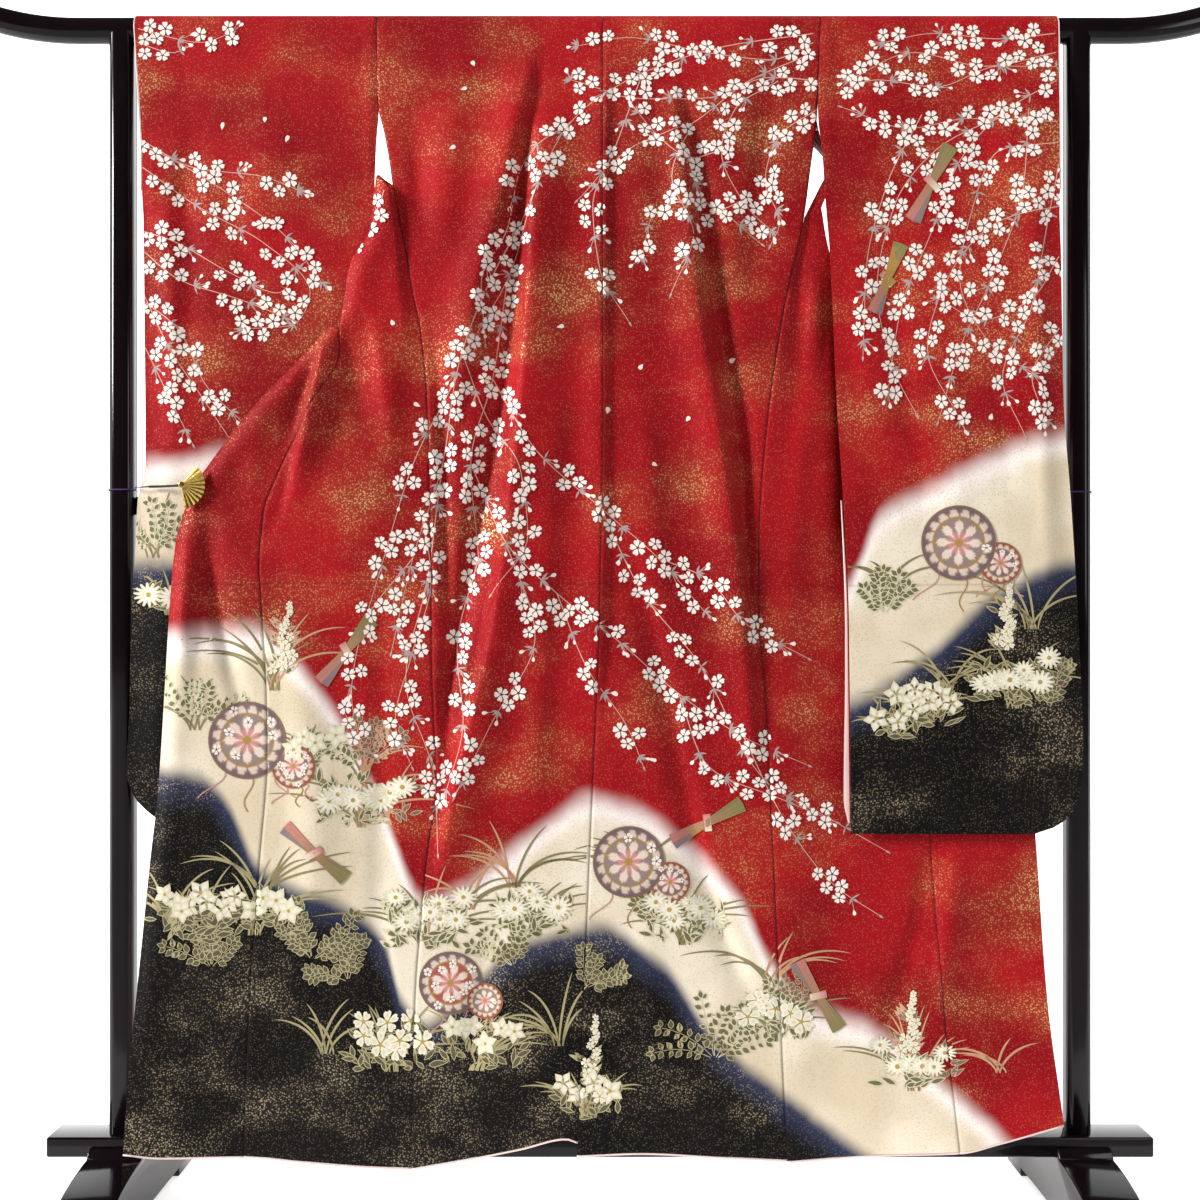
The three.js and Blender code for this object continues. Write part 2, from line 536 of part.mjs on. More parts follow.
// Shares down the leaf where rows lie: the back's own levels, and closer ones near the slit.
const LEAF_EXTRA = [0, 0.022, 0.045, 0.07, 0.1, OKUMI_TOP + 0.03, 0.185];
const LEAST_STEP = 0.012;
function leafRows(leaf) {
  const foot = column(leaf.bottom, "across", "z", 0);
  const shared = leaf.seam.filter((p) => p.z < leaf.start - 20).map((p) => (leaf.start - p.z) / (leaf.start - foot));
  const extra = LEAF_EXTRA.filter((share) => shared.every((other) => Math.abs(other - share) > LEAST_STEP));
  return [...extra, ...shared].sort((p, q) => p - q).map((share) => Math.min(share, 1));
}
function okumiShare(leaf, down) {
  return 1 + (column(leaf.seamShare, "down", "across", down) - 1) * smooth(OKUMI_TOP, 0.2, down);
}
function frontPanel(name, leaf, columns) {
  const grid = [];
  for (let k = 0; k < ARC_STEPS; k++) {
    const angle = Math.max(SPLIT, (k / ARC_STEPS) * (Math.PI / 2));
    const row = [];
    for (let j = 0; j <= columns; j++) {
      const top = leaf.neck[0];
      const x = top.sx + (j / columns) * (top.fx - top.sx);
      row.push(new THREE.Vector3(x, OVER * Math.sin(angle), BEAM.z + OVER * Math.cos(angle)));
    }
    grid.push(row);
  }
  leaf.neck.forEach((neckRow, k) => {
    const row = [];
    const spread = k > 0 && k < 5 ? 1 : 0;
    for (let j = 0; j <= columns; j++) row.push(neckPoint(neckRow, j / columns, spread));
    grid.push(row);
  });
  const fanStart = grid.length;
  for (const down of leafRows(leaf)) {
    const row = [];
    for (let j = 0; j <= columns; j++) {
      const p = leafPoint(leaf, down, (okumiShare(leaf, down) * j) / columns);
      p.x -= leaf.sign * HALF_SEAM * (j / columns);
      row.push(p);
    }
    grid.push(row);
  }
  wall(name, grid, SILK, CLOTH, fanStart);
  return grid;
}
function okumiPanel(name, leaf, columns) {
  const grid = leafRows(leaf).filter((down) => down > OKUMI_TOP + 0.02).map((down) => {
    const row = [];
    const limit = okumiShare(leaf, down);
    for (let j = 0; j <= columns; j++) {
      const p = leafPoint(leaf, down, limit + ((1 - limit) * j) / columns);
      p.x += leaf.sign * HALF_SEAM * (1 - j / columns);
      row.push(p);
    }
    return row;
  });
  wall(name, grid, SILK, CLOTH, 0);
  return grid;
}
const frontLeft = frontPanel("front_left", LEFT_LEAF, 9);
const okumiLeft = okumiPanel("okumi_left", LEFT_LEAF, 6);
const frontRight = frontPanel("front_right", RIGHT_LEAF, 8);
const okumiRight = okumiPanel("okumi_right", RIGHT_LEAF, 5);

// ---------- the collar: a horseshoe band on the far side, between the two gathers ----------
// Each row crosses the band, from its sewn edge to its free edge. x lies along the beam, and d is the distance
// from the shoulder fold, over the beam and down the far side.
const COLLAR_ROWS = named(
  [[-262, 207, -238, 248], [-236, 184, -203, 223], [-210, 161, -168, 198], [-160, 117, -112, 148],
    [-118, 70, -68, 92], [-95, 31, -48, 58], [-95, 26, -46, 56], [-95, 21, -44, 55], [-95, 16, -42, 53],
    [-95, 11, -40, 52], [-95, 5.5, -38, 51], [-95, 0.4, -36, 50], [-60, 0.4, -26, 50], [-20, 0.4, -10, 50],
    [20, 0.4, 10, 50], [60, 0.4, 26, 50], [95, 0.4, 36, 50], [95, 5.5, 38, 51], [95, 11, 40, 52],
    [95, 16, 42, 53], [95, 21, 44, 55], [95, 26, 46, 56], [95, 31, 48, 58], [125, 70, 74, 94],
    [190, 120, 144, 152], [226, 141, 188, 182], [262, 162, 226, 204]],
  "ax",
  "ad",
  "bx",
  "bd"
);
const FAR_DEPTH = named(
  [[1680, 19.3, 19.3], [1640, 17.2, 17.2], [1592, 13.2, 14.2], [1548, 9.5, 12.2], [1500, 1, 10], [1450, 3, 10]],
  "z",
  "left",
  "right"
);
const COLLAR_OVER = OVER + 0.8; // the band stands a little off the beam
function farPoint(x, d) {
  const angle = Math.min(d / OVER, Math.PI / 2);
  const z = BEAM.z + COLLAR_OVER * Math.cos(angle) - Math.max(0, d - QUARTER);
  const side = x < 0 ? "left" : "right";
  const y = d < QUARTER ? COLLAR_OVER * Math.sin(angle) : column(FAR_DEPTH, "z", side, z) + COLLAR_OVER - OVER;
  return new THREE.Vector3(x, y, z);
}
const COLLAR_ACROSS = 8;
const COLLAR_INSET = 3; // clear of the front's slanting edge
const collarGrid = COLLAR_ROWS.map((q) => {
  const row = [];
  for (let j = 0; j <= COLLAR_ACROSS; j++) {
    const t = j / COLLAR_ACROSS;
    const ax = q.ax - Math.sign(q.ax) * COLLAR_INSET;
    row.push(farPoint(ax + t * (q.bx - ax), q.ad + t * (q.bd - q.ad)));
  }
  return row;
});
wall("collar", collarGrid, SILK);

// ---------- lining that shows: hem rolls, cuff rolls and one inner sleeve edge ----------
function rollUnder(name, hemRow, take) {
  const edge = hemRow.filter((p, i) => i % take === 0 || i === hemRow.length - 1);
  const rows = [GAP, GAP + HEM_ROLL].map((drop) => edge.map((p) => new THREE.Vector3(p.x, p.y, p.z - drop)));
  wall(name, rows, LINING, CLOTH + 0.8);
}
const last = (grid) => grid[grid.length - 1];
rollUnder("hem_roll_back_left", last(backLeft), 2);
rollUnder("hem_roll_back_right", last(backRight), 2);
rollUnder("hem_roll_front_left", last(frontLeft), 2);
rollUnder("hem_roll_okumi_left", last(okumiLeft), 1);
rollUnder("hem_roll_front_right", last(frontRight), 2);
rollUnder("hem_roll_okumi_right", last(okumiRight), 1);

const CUFF_ROLL = 2.2;
const CUFF_OPEN = 10; // rows of the sleeve along the open cuff
function cuffRoll(name, near, far, sign) {
  const path = [...far.slice(0, CUFF_OPEN).reverse(), ...near.slice(0, CUFF_OPEN)].map((row) => row[0]);
  const rows = path.map((p) => [0, 1].map((k) => new THREE.Vector3(p.x + sign * (GAP + k * CUFF_ROLL), p.y, p.z)));
  wall(name, rows, LINING, CLOTH);
}
cuffRoll("cuff_roll_left", leftNear, leftFar, -1);
cuffRoll("cuff_roll_right", rightNear, rightFar, 1);

const FURI_STRIP = named([[1010, 1], [900, 5], [800, 9], [650, 11], [560, 10]], "z", "wide");
const furiRows = FURI_STRIP.map((q) => {
  const edge = column(SLEEVE_RIGHT, "z", "inner", q.z) - GAP;
  const y = column(SLEEVE_DEPTH, "z", "rightFar", q.z) - 2;
  return [0, 1].map((k) => new THREE.Vector3(edge - q.wide * (1 - k), y, q.z));
});
wall("furi_lining_right", furiRows, LINING, 1.2);

// ---------- the clip: a small gold folding fan, its cord, and the cords round the posts ----------
const FAN = { x: -579, z: 1030, y: -54, radius: 32, hub: 5, from: 52, to: -84, ribs: 11, thick: 1.6, fold: 1.2 };
function fanPoint(k, r, lift) {
  const a = ((FAN.from + ((FAN.to - FAN.from) * k) / (2 * FAN.ribs)) * Math.PI) / 180;
  return new THREE.Vector3(FAN.x + r * Math.cos(a), FAN.y - lift, FAN.z + r * Math.sin(a));
}
const fanRows = [FAN.hub, FAN.radius].map((r) => {
  const row = [];
  for (let k = 0; k <= 2 * FAN.ribs; k++) row.push(fanPoint(k, r, (k % 2) * FAN.fold * (r / FAN.radius)));
  return row;
});
wall("fan_clip_leaf", fanRows, GOLD, FAN.thick);
const pivotRoute = [FAN.y + 3, FAN.y - 3].map((y) => new THREE.Vector3(FAN.x, y, FAN.z));
cord("fan_clip_pivot", pivotRoute, FAN.hub - 0.5, 14, GOLD);

const CLIP_CORD = { radius: 1.7, start: FAN.x - FAN.hub, end: -629 };
cord(
  "clip_cord",
  [CLIP_CORD.start, -600, -615, CLIP_CORD.end].map(
    (x, i) => new THREE.Vector3(x, [FAN.y, -46, -40, -38][i], FAN.z - 1)
  ),
  CLIP_CORD.radius,
  8,
  CORD
);
// A thin cord from a cloth edge, round a post and back.
const THIN = 0.9;
const CORD_CLEAR = 0.9; // the cord's facets clear the post's corners
function postCord(name, from, sign, z) {
  const off = THIN + CORD_CLEAR;
  const round = POST.round + off;
  const flat = POST.side / 2 - POST.round;
  const route = [...from];
  const corners = [[-sign, -1], [sign, -1], [sign, 1], [-sign, 1]];
  for (const [cx, cy] of corners) {
    const middle = Math.atan2(cy, cx);
    for (const k of [-1, 0, 1]) {
      const a = middle + sign * (k * Math.PI) / 4;
      const x = sign * POST.x + cx * flat + round * Math.cos(a);
      route.push(new THREE.Vector3(x, cy * flat + round * Math.sin(a), z));
    }
  }
  cord(name, route.slice(0, -1), THIN, 8, CORD);
}
const leftStart = [[CLIP_CORD.end - 0.4, -38, 1029], [-649, -37, 1028]].map((p) => new THREE.Vector3(...p));
const rightStart = [[577, -24, 1023], [640, -21.5, 1024]].map((p) => new THREE.Vector3(...p));
postCord("post_cord_left", leftStart, -1, FAN.z - 3);
postCord("post_cord_right", rightStart, 1, 1024);

export default group;
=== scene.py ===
import bpy
import math
import random
import numpy as np
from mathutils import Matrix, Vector
from mathutils.bvhtree import BVHTree


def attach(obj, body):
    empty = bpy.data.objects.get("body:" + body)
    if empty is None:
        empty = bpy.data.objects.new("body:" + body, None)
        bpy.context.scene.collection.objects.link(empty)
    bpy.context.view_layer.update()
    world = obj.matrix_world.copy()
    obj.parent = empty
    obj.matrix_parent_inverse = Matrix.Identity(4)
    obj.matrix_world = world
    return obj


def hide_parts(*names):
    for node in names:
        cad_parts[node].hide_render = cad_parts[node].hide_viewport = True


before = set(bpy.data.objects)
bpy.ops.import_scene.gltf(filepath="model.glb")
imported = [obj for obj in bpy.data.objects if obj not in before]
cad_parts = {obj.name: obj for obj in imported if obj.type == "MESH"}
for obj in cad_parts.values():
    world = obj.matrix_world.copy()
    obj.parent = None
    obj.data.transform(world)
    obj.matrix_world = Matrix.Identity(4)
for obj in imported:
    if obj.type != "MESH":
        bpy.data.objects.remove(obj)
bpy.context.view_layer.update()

MM = 0.001

# =====================================================================================================
# Camera, light and floor: a plain white studio. The camera stands square to the kimono's back, level
# with the lower half of the cloth. None of this is part of the object.
# =====================================================================================================
EYE = (0.0, -2.130, 0.823)
PICTURE_HALF = 0.840   # half the picture's width where the rack's front bar is
PICTURE_MIDDLE = 0.871  # height of the picture's middle there
BAR_FRONT = -0.031

def set_camera():
    data = bpy.data.cameras.new("camera")
    camera = bpy.data.objects.new("camera", data)
    bpy.context.scene.collection.objects.link(camera)
    camera.location = EYE
    camera.rotation_euler = (math.radians(90), 0, 0)
    data.sensor_width = 36
    data.lens = 36 * (BAR_FRONT - EYE[1]) / (2 * PICTURE_HALF)
    data.shift_y = (PICTURE_MIDDLE - EYE[2]) / (2 * PICTURE_HALF)
    data.clip_end = 50
    bpy.context.scene.camera = camera

def linear(hex_colour):
    """sRGB hex to linear red, green, blue and 1."""
    parts = [int(hex_colour[i:i + 2], 16) / 255 for i in (0, 2, 4)]
    return tuple(c / 12.92 if c <= 0.04045 else ((c + 0.055) / 1.055) ** 2.4 for c in parts) + (1.0,)

def node(tree, kind, settings=None, **links):
    """Adds a node: settings are its own properties or input values, links are sockets or values by input name."""
    made = tree.nodes.new(kind)
    for key, value in (settings or {}).items():
        if hasattr(made, key):
            setattr(made, key, value)
        else:
            made.inputs[key].default_value = value
    for key, value in links.items():
        numbered = key[0] == "i" and key[1:].isdigit()
        socket = made.inputs[int(key[1:]) if numbered else key.replace("_", " ")]
        if isinstance(value, bpy.types.NodeSocket):
            tree.links.new(value, socket)
        else:
            socket.default_value = value
    return made

def finish_material(name):
    """A new material, its node tree and its surface node."""
    material = bpy.data.materials.new(name)
    material.use_nodes = True
    return material, material.node_tree, material.node_tree.nodes["Principled BSDF"]

def area_light(name, place, aim, size, watts, colour=(1, 1, 1)):
    data = bpy.data.lights.new(name, "AREA")
    data.shape = "RECTANGLE"
    data.size, data.size_y = size
    data.energy = watts
    data.color = colour
    light = bpy.data.objects.new(name, data)
    light.location = place
    light.rotation_euler = (Vector(aim) - Vector(place)).to_track_quat("-Z", "Y").to_euler()
    bpy.context.scene.collection.objects.link(light)

def plain_sheet(name, corners, colour, glow):
    mesh = bpy.data.meshes.new(name)
    mesh.from_pydata(corners, [], [tuple(range(len(corners)))])
    obj = bpy.data.objects.new(name, mesh)
    bpy.context.scene.collection.objects.link(obj)
    material, tree, surface = finish_material(name)
    surface.inputs["Base Color"].default_value = linear(colour)
    surface.inputs["Roughness"].default_value = 0.9
    surface.inputs["Emission Color"].default_value = (1, 1, 1, 1)
    surface.inputs["Emission Strength"].default_value = glow
    mesh.materials.append(material)

set_camera()
plain_sheet("studio_floor", [(-7, -0.35, 0), (7, -0.35, 0), (7, 5, 0), (-7, 5, 0)], "F4F4F4", 0.62)
plain_sheet("studio_floor_front", [(-7, -5, 0), (7, -5, 0), (7, -0.35, 0), (-7, -0.35, 0)], "C4C4C4", 0.0)
plain_sheet("studio_wall", [(-9, 5, -1), (9, 5, -1), (9, 5, 8), (-9, 5, 8)], "FFFFFF", 1.0)
area_light("key_light", (-8.6, -3.9, 4.6), (0.1, 0.0, 0.9), (1.5, 3.2), 1500)
area_light("fill_light", (2.3, -2.2, 1.5), (0.5, 0.0, 1.0), (1.0, 1.5), 20)
area_light("top_light", (0.0, -0.9, 3.4), (0.0, 0.0, 0.9), (2.0, 0.8), 11)
area_light("edge_light_left", (-2.3, 0.15, 1.0), (0.0, 0.0, 1.0), (0.9, 2.4), 16)
area_light("edge_light_right", (2.3, 0.15, 1.0), (0.0, 0.0, 1.0), (0.9, 2.4), 16)
world = bpy.data.worlds.new("studio")
bpy.context.scene.world = world
world.use_nodes = True
world.node_tree.nodes["Background"].inputs["Color"].default_value = (1, 1, 1, 1)
world.node_tree.nodes["Background"].inputs["Strength"].default_value = 0.07
bpy.context.scene.view_settings.view_transform = "Standard"

# =====================================================================================================
# Rack: a lacquered wooden kimono rack. Turned top beam with swept ends, two rounded posts saddled under
# it, a middle rail, a crossbar on edge and two arched feet. Black urushi, polished to a deep gloss.
# =====================================================================================================
BEAM_Z, BEAM_R = 1.680, 0.018
BEAM_STRAIGHT, BEAM_TIP, BEAM_BEND = 0.740, 0.930, 0.420
POST_X, POST_SIDE, POST_ROUND = 0.677, 0.035, 0.011
BAR_HALF, BAR_DEEP, BAR_LOW, BAR_TOP = 0.776, 0.061, 0.090, 0.118
FOOT_WIDE, FOOT_HALF, FOOT_TOP, PAD_INNER, PAD_LIFT = 0.077, 0.221, 0.104, 0.145, 0.012
RAIL_LOW, RAIL_TOP, RAIL_DEEP = 0.992, 1.018, 0.015
CLEAR = 0.0003  # what is left between two pieces of the rack

def lacquer():
    material, tree, surface = finish_material("black_lacquer")
    where = node(tree, "ShaderNodeTexCoord").outputs["Object"]
    cloud = node(tree, "ShaderNodeTexNoise", {"Scale": 9.0, "Detail": 3.0}, Vector=where)
    tint = node(tree, "ShaderNodeValToRGB", Fac=cloud.outputs["Fac"])
    tint.color_ramp.elements[0].color = linear("060406")
    tint.color_ramp.elements[1].color = linear("170E12")
    tree.links.new(tint.outputs["Color"], surface.inputs["Base Color"])
    wear = node(tree, "ShaderNodeTexNoise", {"Scale": 60.0, "Detail": 4.0}, Vector=where)
    rough = node(tree, "ShaderNodeMapRange", {"To Min": 0.08, "To Max": 0.16}, Value=wear.outputs["Fac"])
    tree.links.new(rough.outputs["Result"], surface.inputs["Roughness"])
    ripple = node(tree, "ShaderNodeTexNoise", {"Scale": 22.0, "Detail": 2.0}, Vector=where)
    bump = node(tree, "ShaderNodeBump", {"Strength": 0.12, "Distance": 0.0006}, Height=ripple.outputs["Fac"])
    tree.links.new(bump.outputs["Normal"], surface.inputs["Normal"])
    surface.inputs["Specular IOR Level"].default_value = 0.25
    return material

LACQUER = lacquer()

def clear_choice():
    if bpy.context.object and bpy.context.object.mode != "OBJECT":
        bpy.ops.object.mode_set(mode="OBJECT")
    bpy.ops.object.select_all(action="DESELECT")

def settle(obj):
    """Applies place, turn and size, so that the finished object sits at the origin."""
    clear_choice()
    obj.select_set(True)
    bpy.context.view_layer.objects.active = obj
    bpy.ops.object.transform_apply(location=True, rotation=True, scale=True)

def apply_modifier(obj, kind, **settings):
    made = obj.modifiers.new(kind.lower(), kind)
    for key, value in settings.items():
        setattr(made, key, value)
    bpy.context.view_layer.objects.active = obj
    bpy.ops.object.modifier_apply(modifier=made.name)

def block(name, lower, upper):
    """A cube primitive of these corners."""
    clear_choice()
    middle = [(a + b) / 2 for a, b in zip(lower, upper)]
    bpy.ops.mesh.primitive_cube_add(size=1, location=middle)
    obj = bpy.context.object
    obj.name = name
    obj.scale = [b - a for a, b in zip(lower, upper)]
    settle(obj)
    return obj

def cut_away(obj, cutter):
    apply_modifier(obj, "BOOLEAN", operation="DIFFERENCE", object=cutter, solver="EXACT")
    bpy.data.objects.remove(cutter)

def smooth_by_angle(obj, degrees=35):
    clear_choice()
    obj.select_set(True)
    bpy.context.view_layer.objects.active = obj
    bpy.ops.object.shade_smooth_by_angle(angle=math.radians(degrees))

def take_place(obj, slot, *nodes):
    """The piece rides on the one body, in the place of these CAD nodes."""
    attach(obj, "root")
    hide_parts(*nodes)

def lacquered(obj, *nodes):
    obj.data.materials.clear()
    obj.data.materials.append(LACQUER)
    smooth_by_angle(obj)
    take_place(obj, "black_lacquer", *nodes)

def make_beam():
    clear_choice()
    bpy.ops.mesh.primitive_circle_add(vertices=48, radius=BEAM_R, fill_type="NGON", rotation=(0, math.radians(90), 0))
    beam = bpy.context.object
    beam.name = "beam"
    settle(beam)
    turn = math.asin((BEAM_TIP - BEAM_STRAIGHT) / BEAM_BEND)
    rise = BEAM_BEND * (1 - math.cos(turn))
    beam.location = (-BEAM_TIP, 0, BEAM_Z + rise)
    beam.rotation_euler = (0, turn, 0)
    settle(beam)
    bpy.ops.object.mode_set(mode="EDIT")
    bpy.ops.mesh.select_all(action="SELECT")
    steps = 14
    def past_straight(x):
        return max(0.0, abs(x) - BEAM_STRAIGHT)
    def height(x):
        return BEAM_Z + BEAM_BEND - math.sqrt(BEAM_BEND ** 2 - past_straight(x) ** 2)
    def slope(x):
        return math.copysign(math.asin(past_straight(x) / BEAM_BEND), x)
    curve = [BEAM_STRAIGHT + (BEAM_TIP - BEAM_STRAIGHT) * (1 - k / steps) for k in range(steps + 1)]
    stations = [-x for x in curve] + [-0.4, 0.0, 0.4] + list(reversed(curve))
    for a, b in zip(stations, stations[1:]):
        zb = height(b)
        bpy.ops.mesh.extrude_region_move(TRANSFORM_OT_translate={"value": (b - a, 0, zb - height(a))})
        change = slope(b) - slope(a)
        if abs(change) > 1e-6:
            bpy.ops.transform.rotate(value=change, orient_axis="Y", center_override=(b, 0, zb))
    bpy.ops.mesh.select_all(action="SELECT")
    bpy.ops.mesh.normals_make_consistent(inside=False)
    bpy.ops.object.mode_set(mode="OBJECT")
    apply_modifier(beam, "BEVEL", width=0.003, segments=3, limit_method="ANGLE", angle_limit=math.radians(60))
    lacquered(beam, "top_beam")

def make_post(name, x, cad):
    half = POST_SIDE / 2
    post = block(name, (x - half, -half, BAR_TOP + CLEAR), (x + half, half, BEAM_Z))
    clear_choice()
    bpy.context.view_layer.objects.active = post
    post.select_set(True)
    bpy.ops.object.mode_set(mode="EDIT")
    bpy.ops.mesh.select_mode(type="EDGE")
    bpy.ops.mesh.select_all(action="DESELECT")
    bpy.ops.object.mode_set(mode="OBJECT")
    for edge in post.data.edges:
        a, b = (post.data.vertices[i].co for i in edge.vertices)
        edge.select = abs(a.z - b.z) > 0.5
    bpy.ops.object.mode_set(mode="EDIT")
    bpy.ops.mesh.bevel(offset=POST_ROUND, offset_type="OFFSET", segments=8)
    bpy.ops.object.mode_set(mode="OBJECT")
    clear_choice()
    bpy.ops.mesh.primitive_cylinder_add(vertices=64, radius=BEAM_R + CLEAR, depth=0.2, location=(x, 0, BEAM_Z),
                                        rotation=(0, math.radians(90), 0))
    cut_away(post, bpy.context.object)
    apply_modifier(post, "BEVEL", width=0.0008, segments=2, limit_method="ANGLE", angle_limit=math.radians(50))
    lacquered(post, cad)

def make_bar(name, lower, upper, round_edge, cad):
    bar = block(name, lower, upper)
    apply_modifier(bar, "BEVEL", width=round_edge, segments=4, limit_method="ANGLE", angle_limit=math.radians(50))
    lacquered(bar, cad)

def make_foot(name, x, cad):
    """A solid block, sawn to its arched profile on both ends and notched for the crossbar."""
    foot = block(name, (x - FOOT_WIDE / 2, -FOOT_HALF, 0), (x + FOOT_WIDE / 2, FOOT_HALF, FOOT_TOP))
    profile = [(0.0435, 0.0915), (0.060, 0.0905), (0.080, 0.088), (0.100, 0.085), (0.115, 0.082), (0.132, 0.0785),
               (0.147, 0.074), (0.161, 0.067), (0.175, 0.058), (0.188, 0.0485), (0.200, 0.038), (0.209, 0.030),
               (0.215, 0.024), (0.221, 0.012)]
    for sign in (-1, 1):
        shoulder = [(0.0405, 0.099), (0.036, FOOT_TOP), (0.036, 0.2), (0.3, 0.2), (0.3, PAD_LIFT)]
        shape = [(sign * y, z) for y, z in shoulder + profile[::-1]]
        mesh = bpy.data.meshes.new("saw")
        n = len(shape)
        points = [(x - 0.1, y, z) for y, z in shape] + [(x + 0.1, y, z) for y, z in shape]
        faces = [tuple(range(n)), tuple(range(2 * n - 1, n - 1, -1))]
        faces += [(i, i + n, (i + 1) % n + n, (i + 1) % n) for i in range(n)]
        mesh.from_pydata(points, [], faces)
        saw = bpy.data.objects.new("saw", mesh)
        bpy.context.scene.collection.objects.link(saw)
        clear_choice()
        saw.select_set(True)
        bpy.context.view_layer.objects.active = saw
        bpy.ops.object.mode_set(mode="EDIT")
        bpy.ops.mesh.select_all(action="SELECT")
        bpy.ops.mesh.normals_make_consistent(inside=False)
        bpy.ops.object.mode_set(mode="OBJECT")
        cut_away(foot, saw)
    notch = BAR_DEEP / 2 + CLEAR
    cut_away(foot, block("notch", (x - 0.1, -notch, BAR_LOW - CLEAR), (x + 0.1, notch, 0.2)))
    cut_away(foot, block("arch", (x - 0.1, -PAD_INNER, -0.05), (x + 0.1, PAD_INNER, PAD_LIFT)))
    apply_modifier(foot, "BEVEL", width=0.0025, segments=3, limit_method="ANGLE", angle_limit=math.radians(50))
    lacquered(foot, cad)

make_beam()
for side, sign in (("left", -1), ("right", 1)):
    make_post("post_" + side + "_lacquer", sign * POST_X, "post_" + side)
    make_foot("foot_" + side + "_lacquer", sign * POST_X, "foot_" + side)
make_bar("crossbar_lacquer", (-BAR_HALF, -BAR_DEEP / 2, BAR_LOW), (BAR_HALF, BAR_DEEP / 2, BAR_TOP), 0.003, "crossbar")
rail_half = POST_X - POST_SIDE / 2 - CLEAR
make_bar("middle_rail_lacquer", (-rail_half, -RAIL_DEEP / 2, RAIL_LOW), (rail_half, RAIL_DEEP / 2, RAIL_TOP), 0.003,
         "middle_rail")

# =====================================================================================================
# Back of the body: two lined silk panels sewn at the centre, hung over the beam at the shoulder fold.
# Soft silk crepe, dyed red, cream and black in soft-edged zones, with gold dust. Real cloth is 1 mm; the
# wall is 1.6 mm. The long pleats run down from the shoulder blades.
# =====================================================================================================
CLOTH = 1.6
OVER, TOP = 19.3, 1680  # radius of the cloth's middle over the beam, and the height where it leaves the beam, mm
SPLIT = 0.015  # angle that keeps the two halves apart on the shoulder fold
ARC_ROWS = 9  # rows over a quarter of the beam
GROOVE = 1.7  # reach of a seam's groove, mm
BACK_LIFT = 2.3  # how much fuller the back's folds hang than their table

def smooth(a, b, v):
    t = np.clip((v - a) / (b - a), 0, 1)
    return t * t * (3 - 2 * t)

def flowing(table, at):
    """Reads a table of (place, value) with a smooth curve through its rows."""
    rows = sorted(table)
    xs = np.array([r[0] for r in rows], float)
    ys = np.array([r[1] for r in rows], float)
    step = np.diff(xs)
    slope = np.diff(ys) / step
    tangent = np.zeros(len(xs))
    turning = slope[:-1] * slope[1:] <= 0
    safe = np.where(turning, 1.0, slope[:-1])
    after = np.where(turning, 1.0, slope[1:])
    one, two = 2 * step[1:] + step[:-1], step[1:] + 2 * step[:-1]
    tangent[1:-1] = np.where(turning, 0.0, (one + two) / (one / safe + two / after))
    tangent[0], tangent[-1] = slope[0], slope[-1]
    at = np.clip(np.asarray(at, float), xs[0], xs[-1])
    i = np.clip(np.searchsorted(xs, at, side="right") - 1, 0, len(xs) - 2)
    t = (at - xs[i]) / step[i]
    h = step[i]
    return ((2 * t ** 3 - 3 * t ** 2 + 1) * ys[i] + (t ** 3 - 2 * t ** 2 + t) * h * tangent[i]
            + (-2 * t ** 3 + 3 * t ** 2) * ys[i + 1] + (t ** 3 - t ** 2) * h * tangent[i + 1])

def fold_heights(folds, x, z):
    """Sum of the folds' heights toward the viewer. Each is (line, reach left, reach right, height)."""
    total = np.zeros(np.broadcast(x, z).shape)
    for line, left, right, high in folds:
        top, low = line[0][1], line[-1][1]
        at = flowing([(b, a) for a, b in line], np.clip(z, low, top))
        reach = np.where(x < at, left, right)
        fade = smooth(top + 30, top - 120, z) * smooth(low - 30, low + 120, z)
        total = total + high * fade * np.exp(-((x - at) / reach) ** 2)
    return total

def table_of(rows, value):
    return [(row[0], row[value]) for row in rows]

# columns: height, left seam, centre, right seam
BACK_DEPTH = [(1680, -19.3, -19.3, -19.3), (1600, -26, -26, -24), (1440, -34, -33, -27), (1200, -40, -37, -29),
              (900, -43, -40, -31), (500, -44, -42, -35), (90, -44, -43, -38)]
BACK_FOLDS = [
    ([(-94, 1660), (-108, 1560), (-133, 1440), (-168, 1318), (-202, 1122)], 34, 9, 6),
    ([(-98, 1587), (-108, 1458), (-119, 1360), (-139, 1150), (-164, 1010), (-188, 871), (-218, 732), (-234, 592)],
     16, 16, -6),
    ([(-90, 1572), (-100, 1290), (-118, 1080), (-146, 843), (-185, 676), (-236, 467)], 10, 42, 7),
    ([(101, 1601), (126, 1444), (136, 1290), (163, 1122), (191, 927), (212, 787), (240, 600)], 36, 9, 7),
    ([(112, 1572), (144, 1388), (170, 1248), (198, 1066), (211, 927), (217, 815)], 10, 18, -5),
    ([(45, 927), (77, 815), (100, 704), (128, 564), (181, 383), (222, 286)], 22, 14, -3.5),
    ([(8, 1640), (4, 1300), (2, 950), (-6, 700)], 26, 9, 3),
    ([(-236, 1240), (-222, 1100), (-218, 950), (-215, 800)], 10, 12, -4),
    ([(-200, 1640), (-206, 1540), (-214, 1440), (-226, 1330)], 30, 24, 2.5),
    ([(-262, 1560), (-256, 1460), (-244, 1360)], 14, 18, -2.5),
    ([(48, 1640), (52, 1540), (60, 1430), (70, 1320)], 26, 20, 2.2),
    ([(236, 1620), (232, 1520), (224, 1420), (212, 1300)], 20, 26, -3),
    ([(-60, 1200), (-72, 1000), (-84, 800), (-96, 560)], 26, 22, 3),
    ([(60, 1180), (72, 1000), (88, 850)], 24, 20, 2.6),
    ([(-150, 420), (-168, 300), (-180, 180)], 20, 20, -3),
    ([(60, 420), (72, 280), (80, 160)], 22, 20, 3),
]
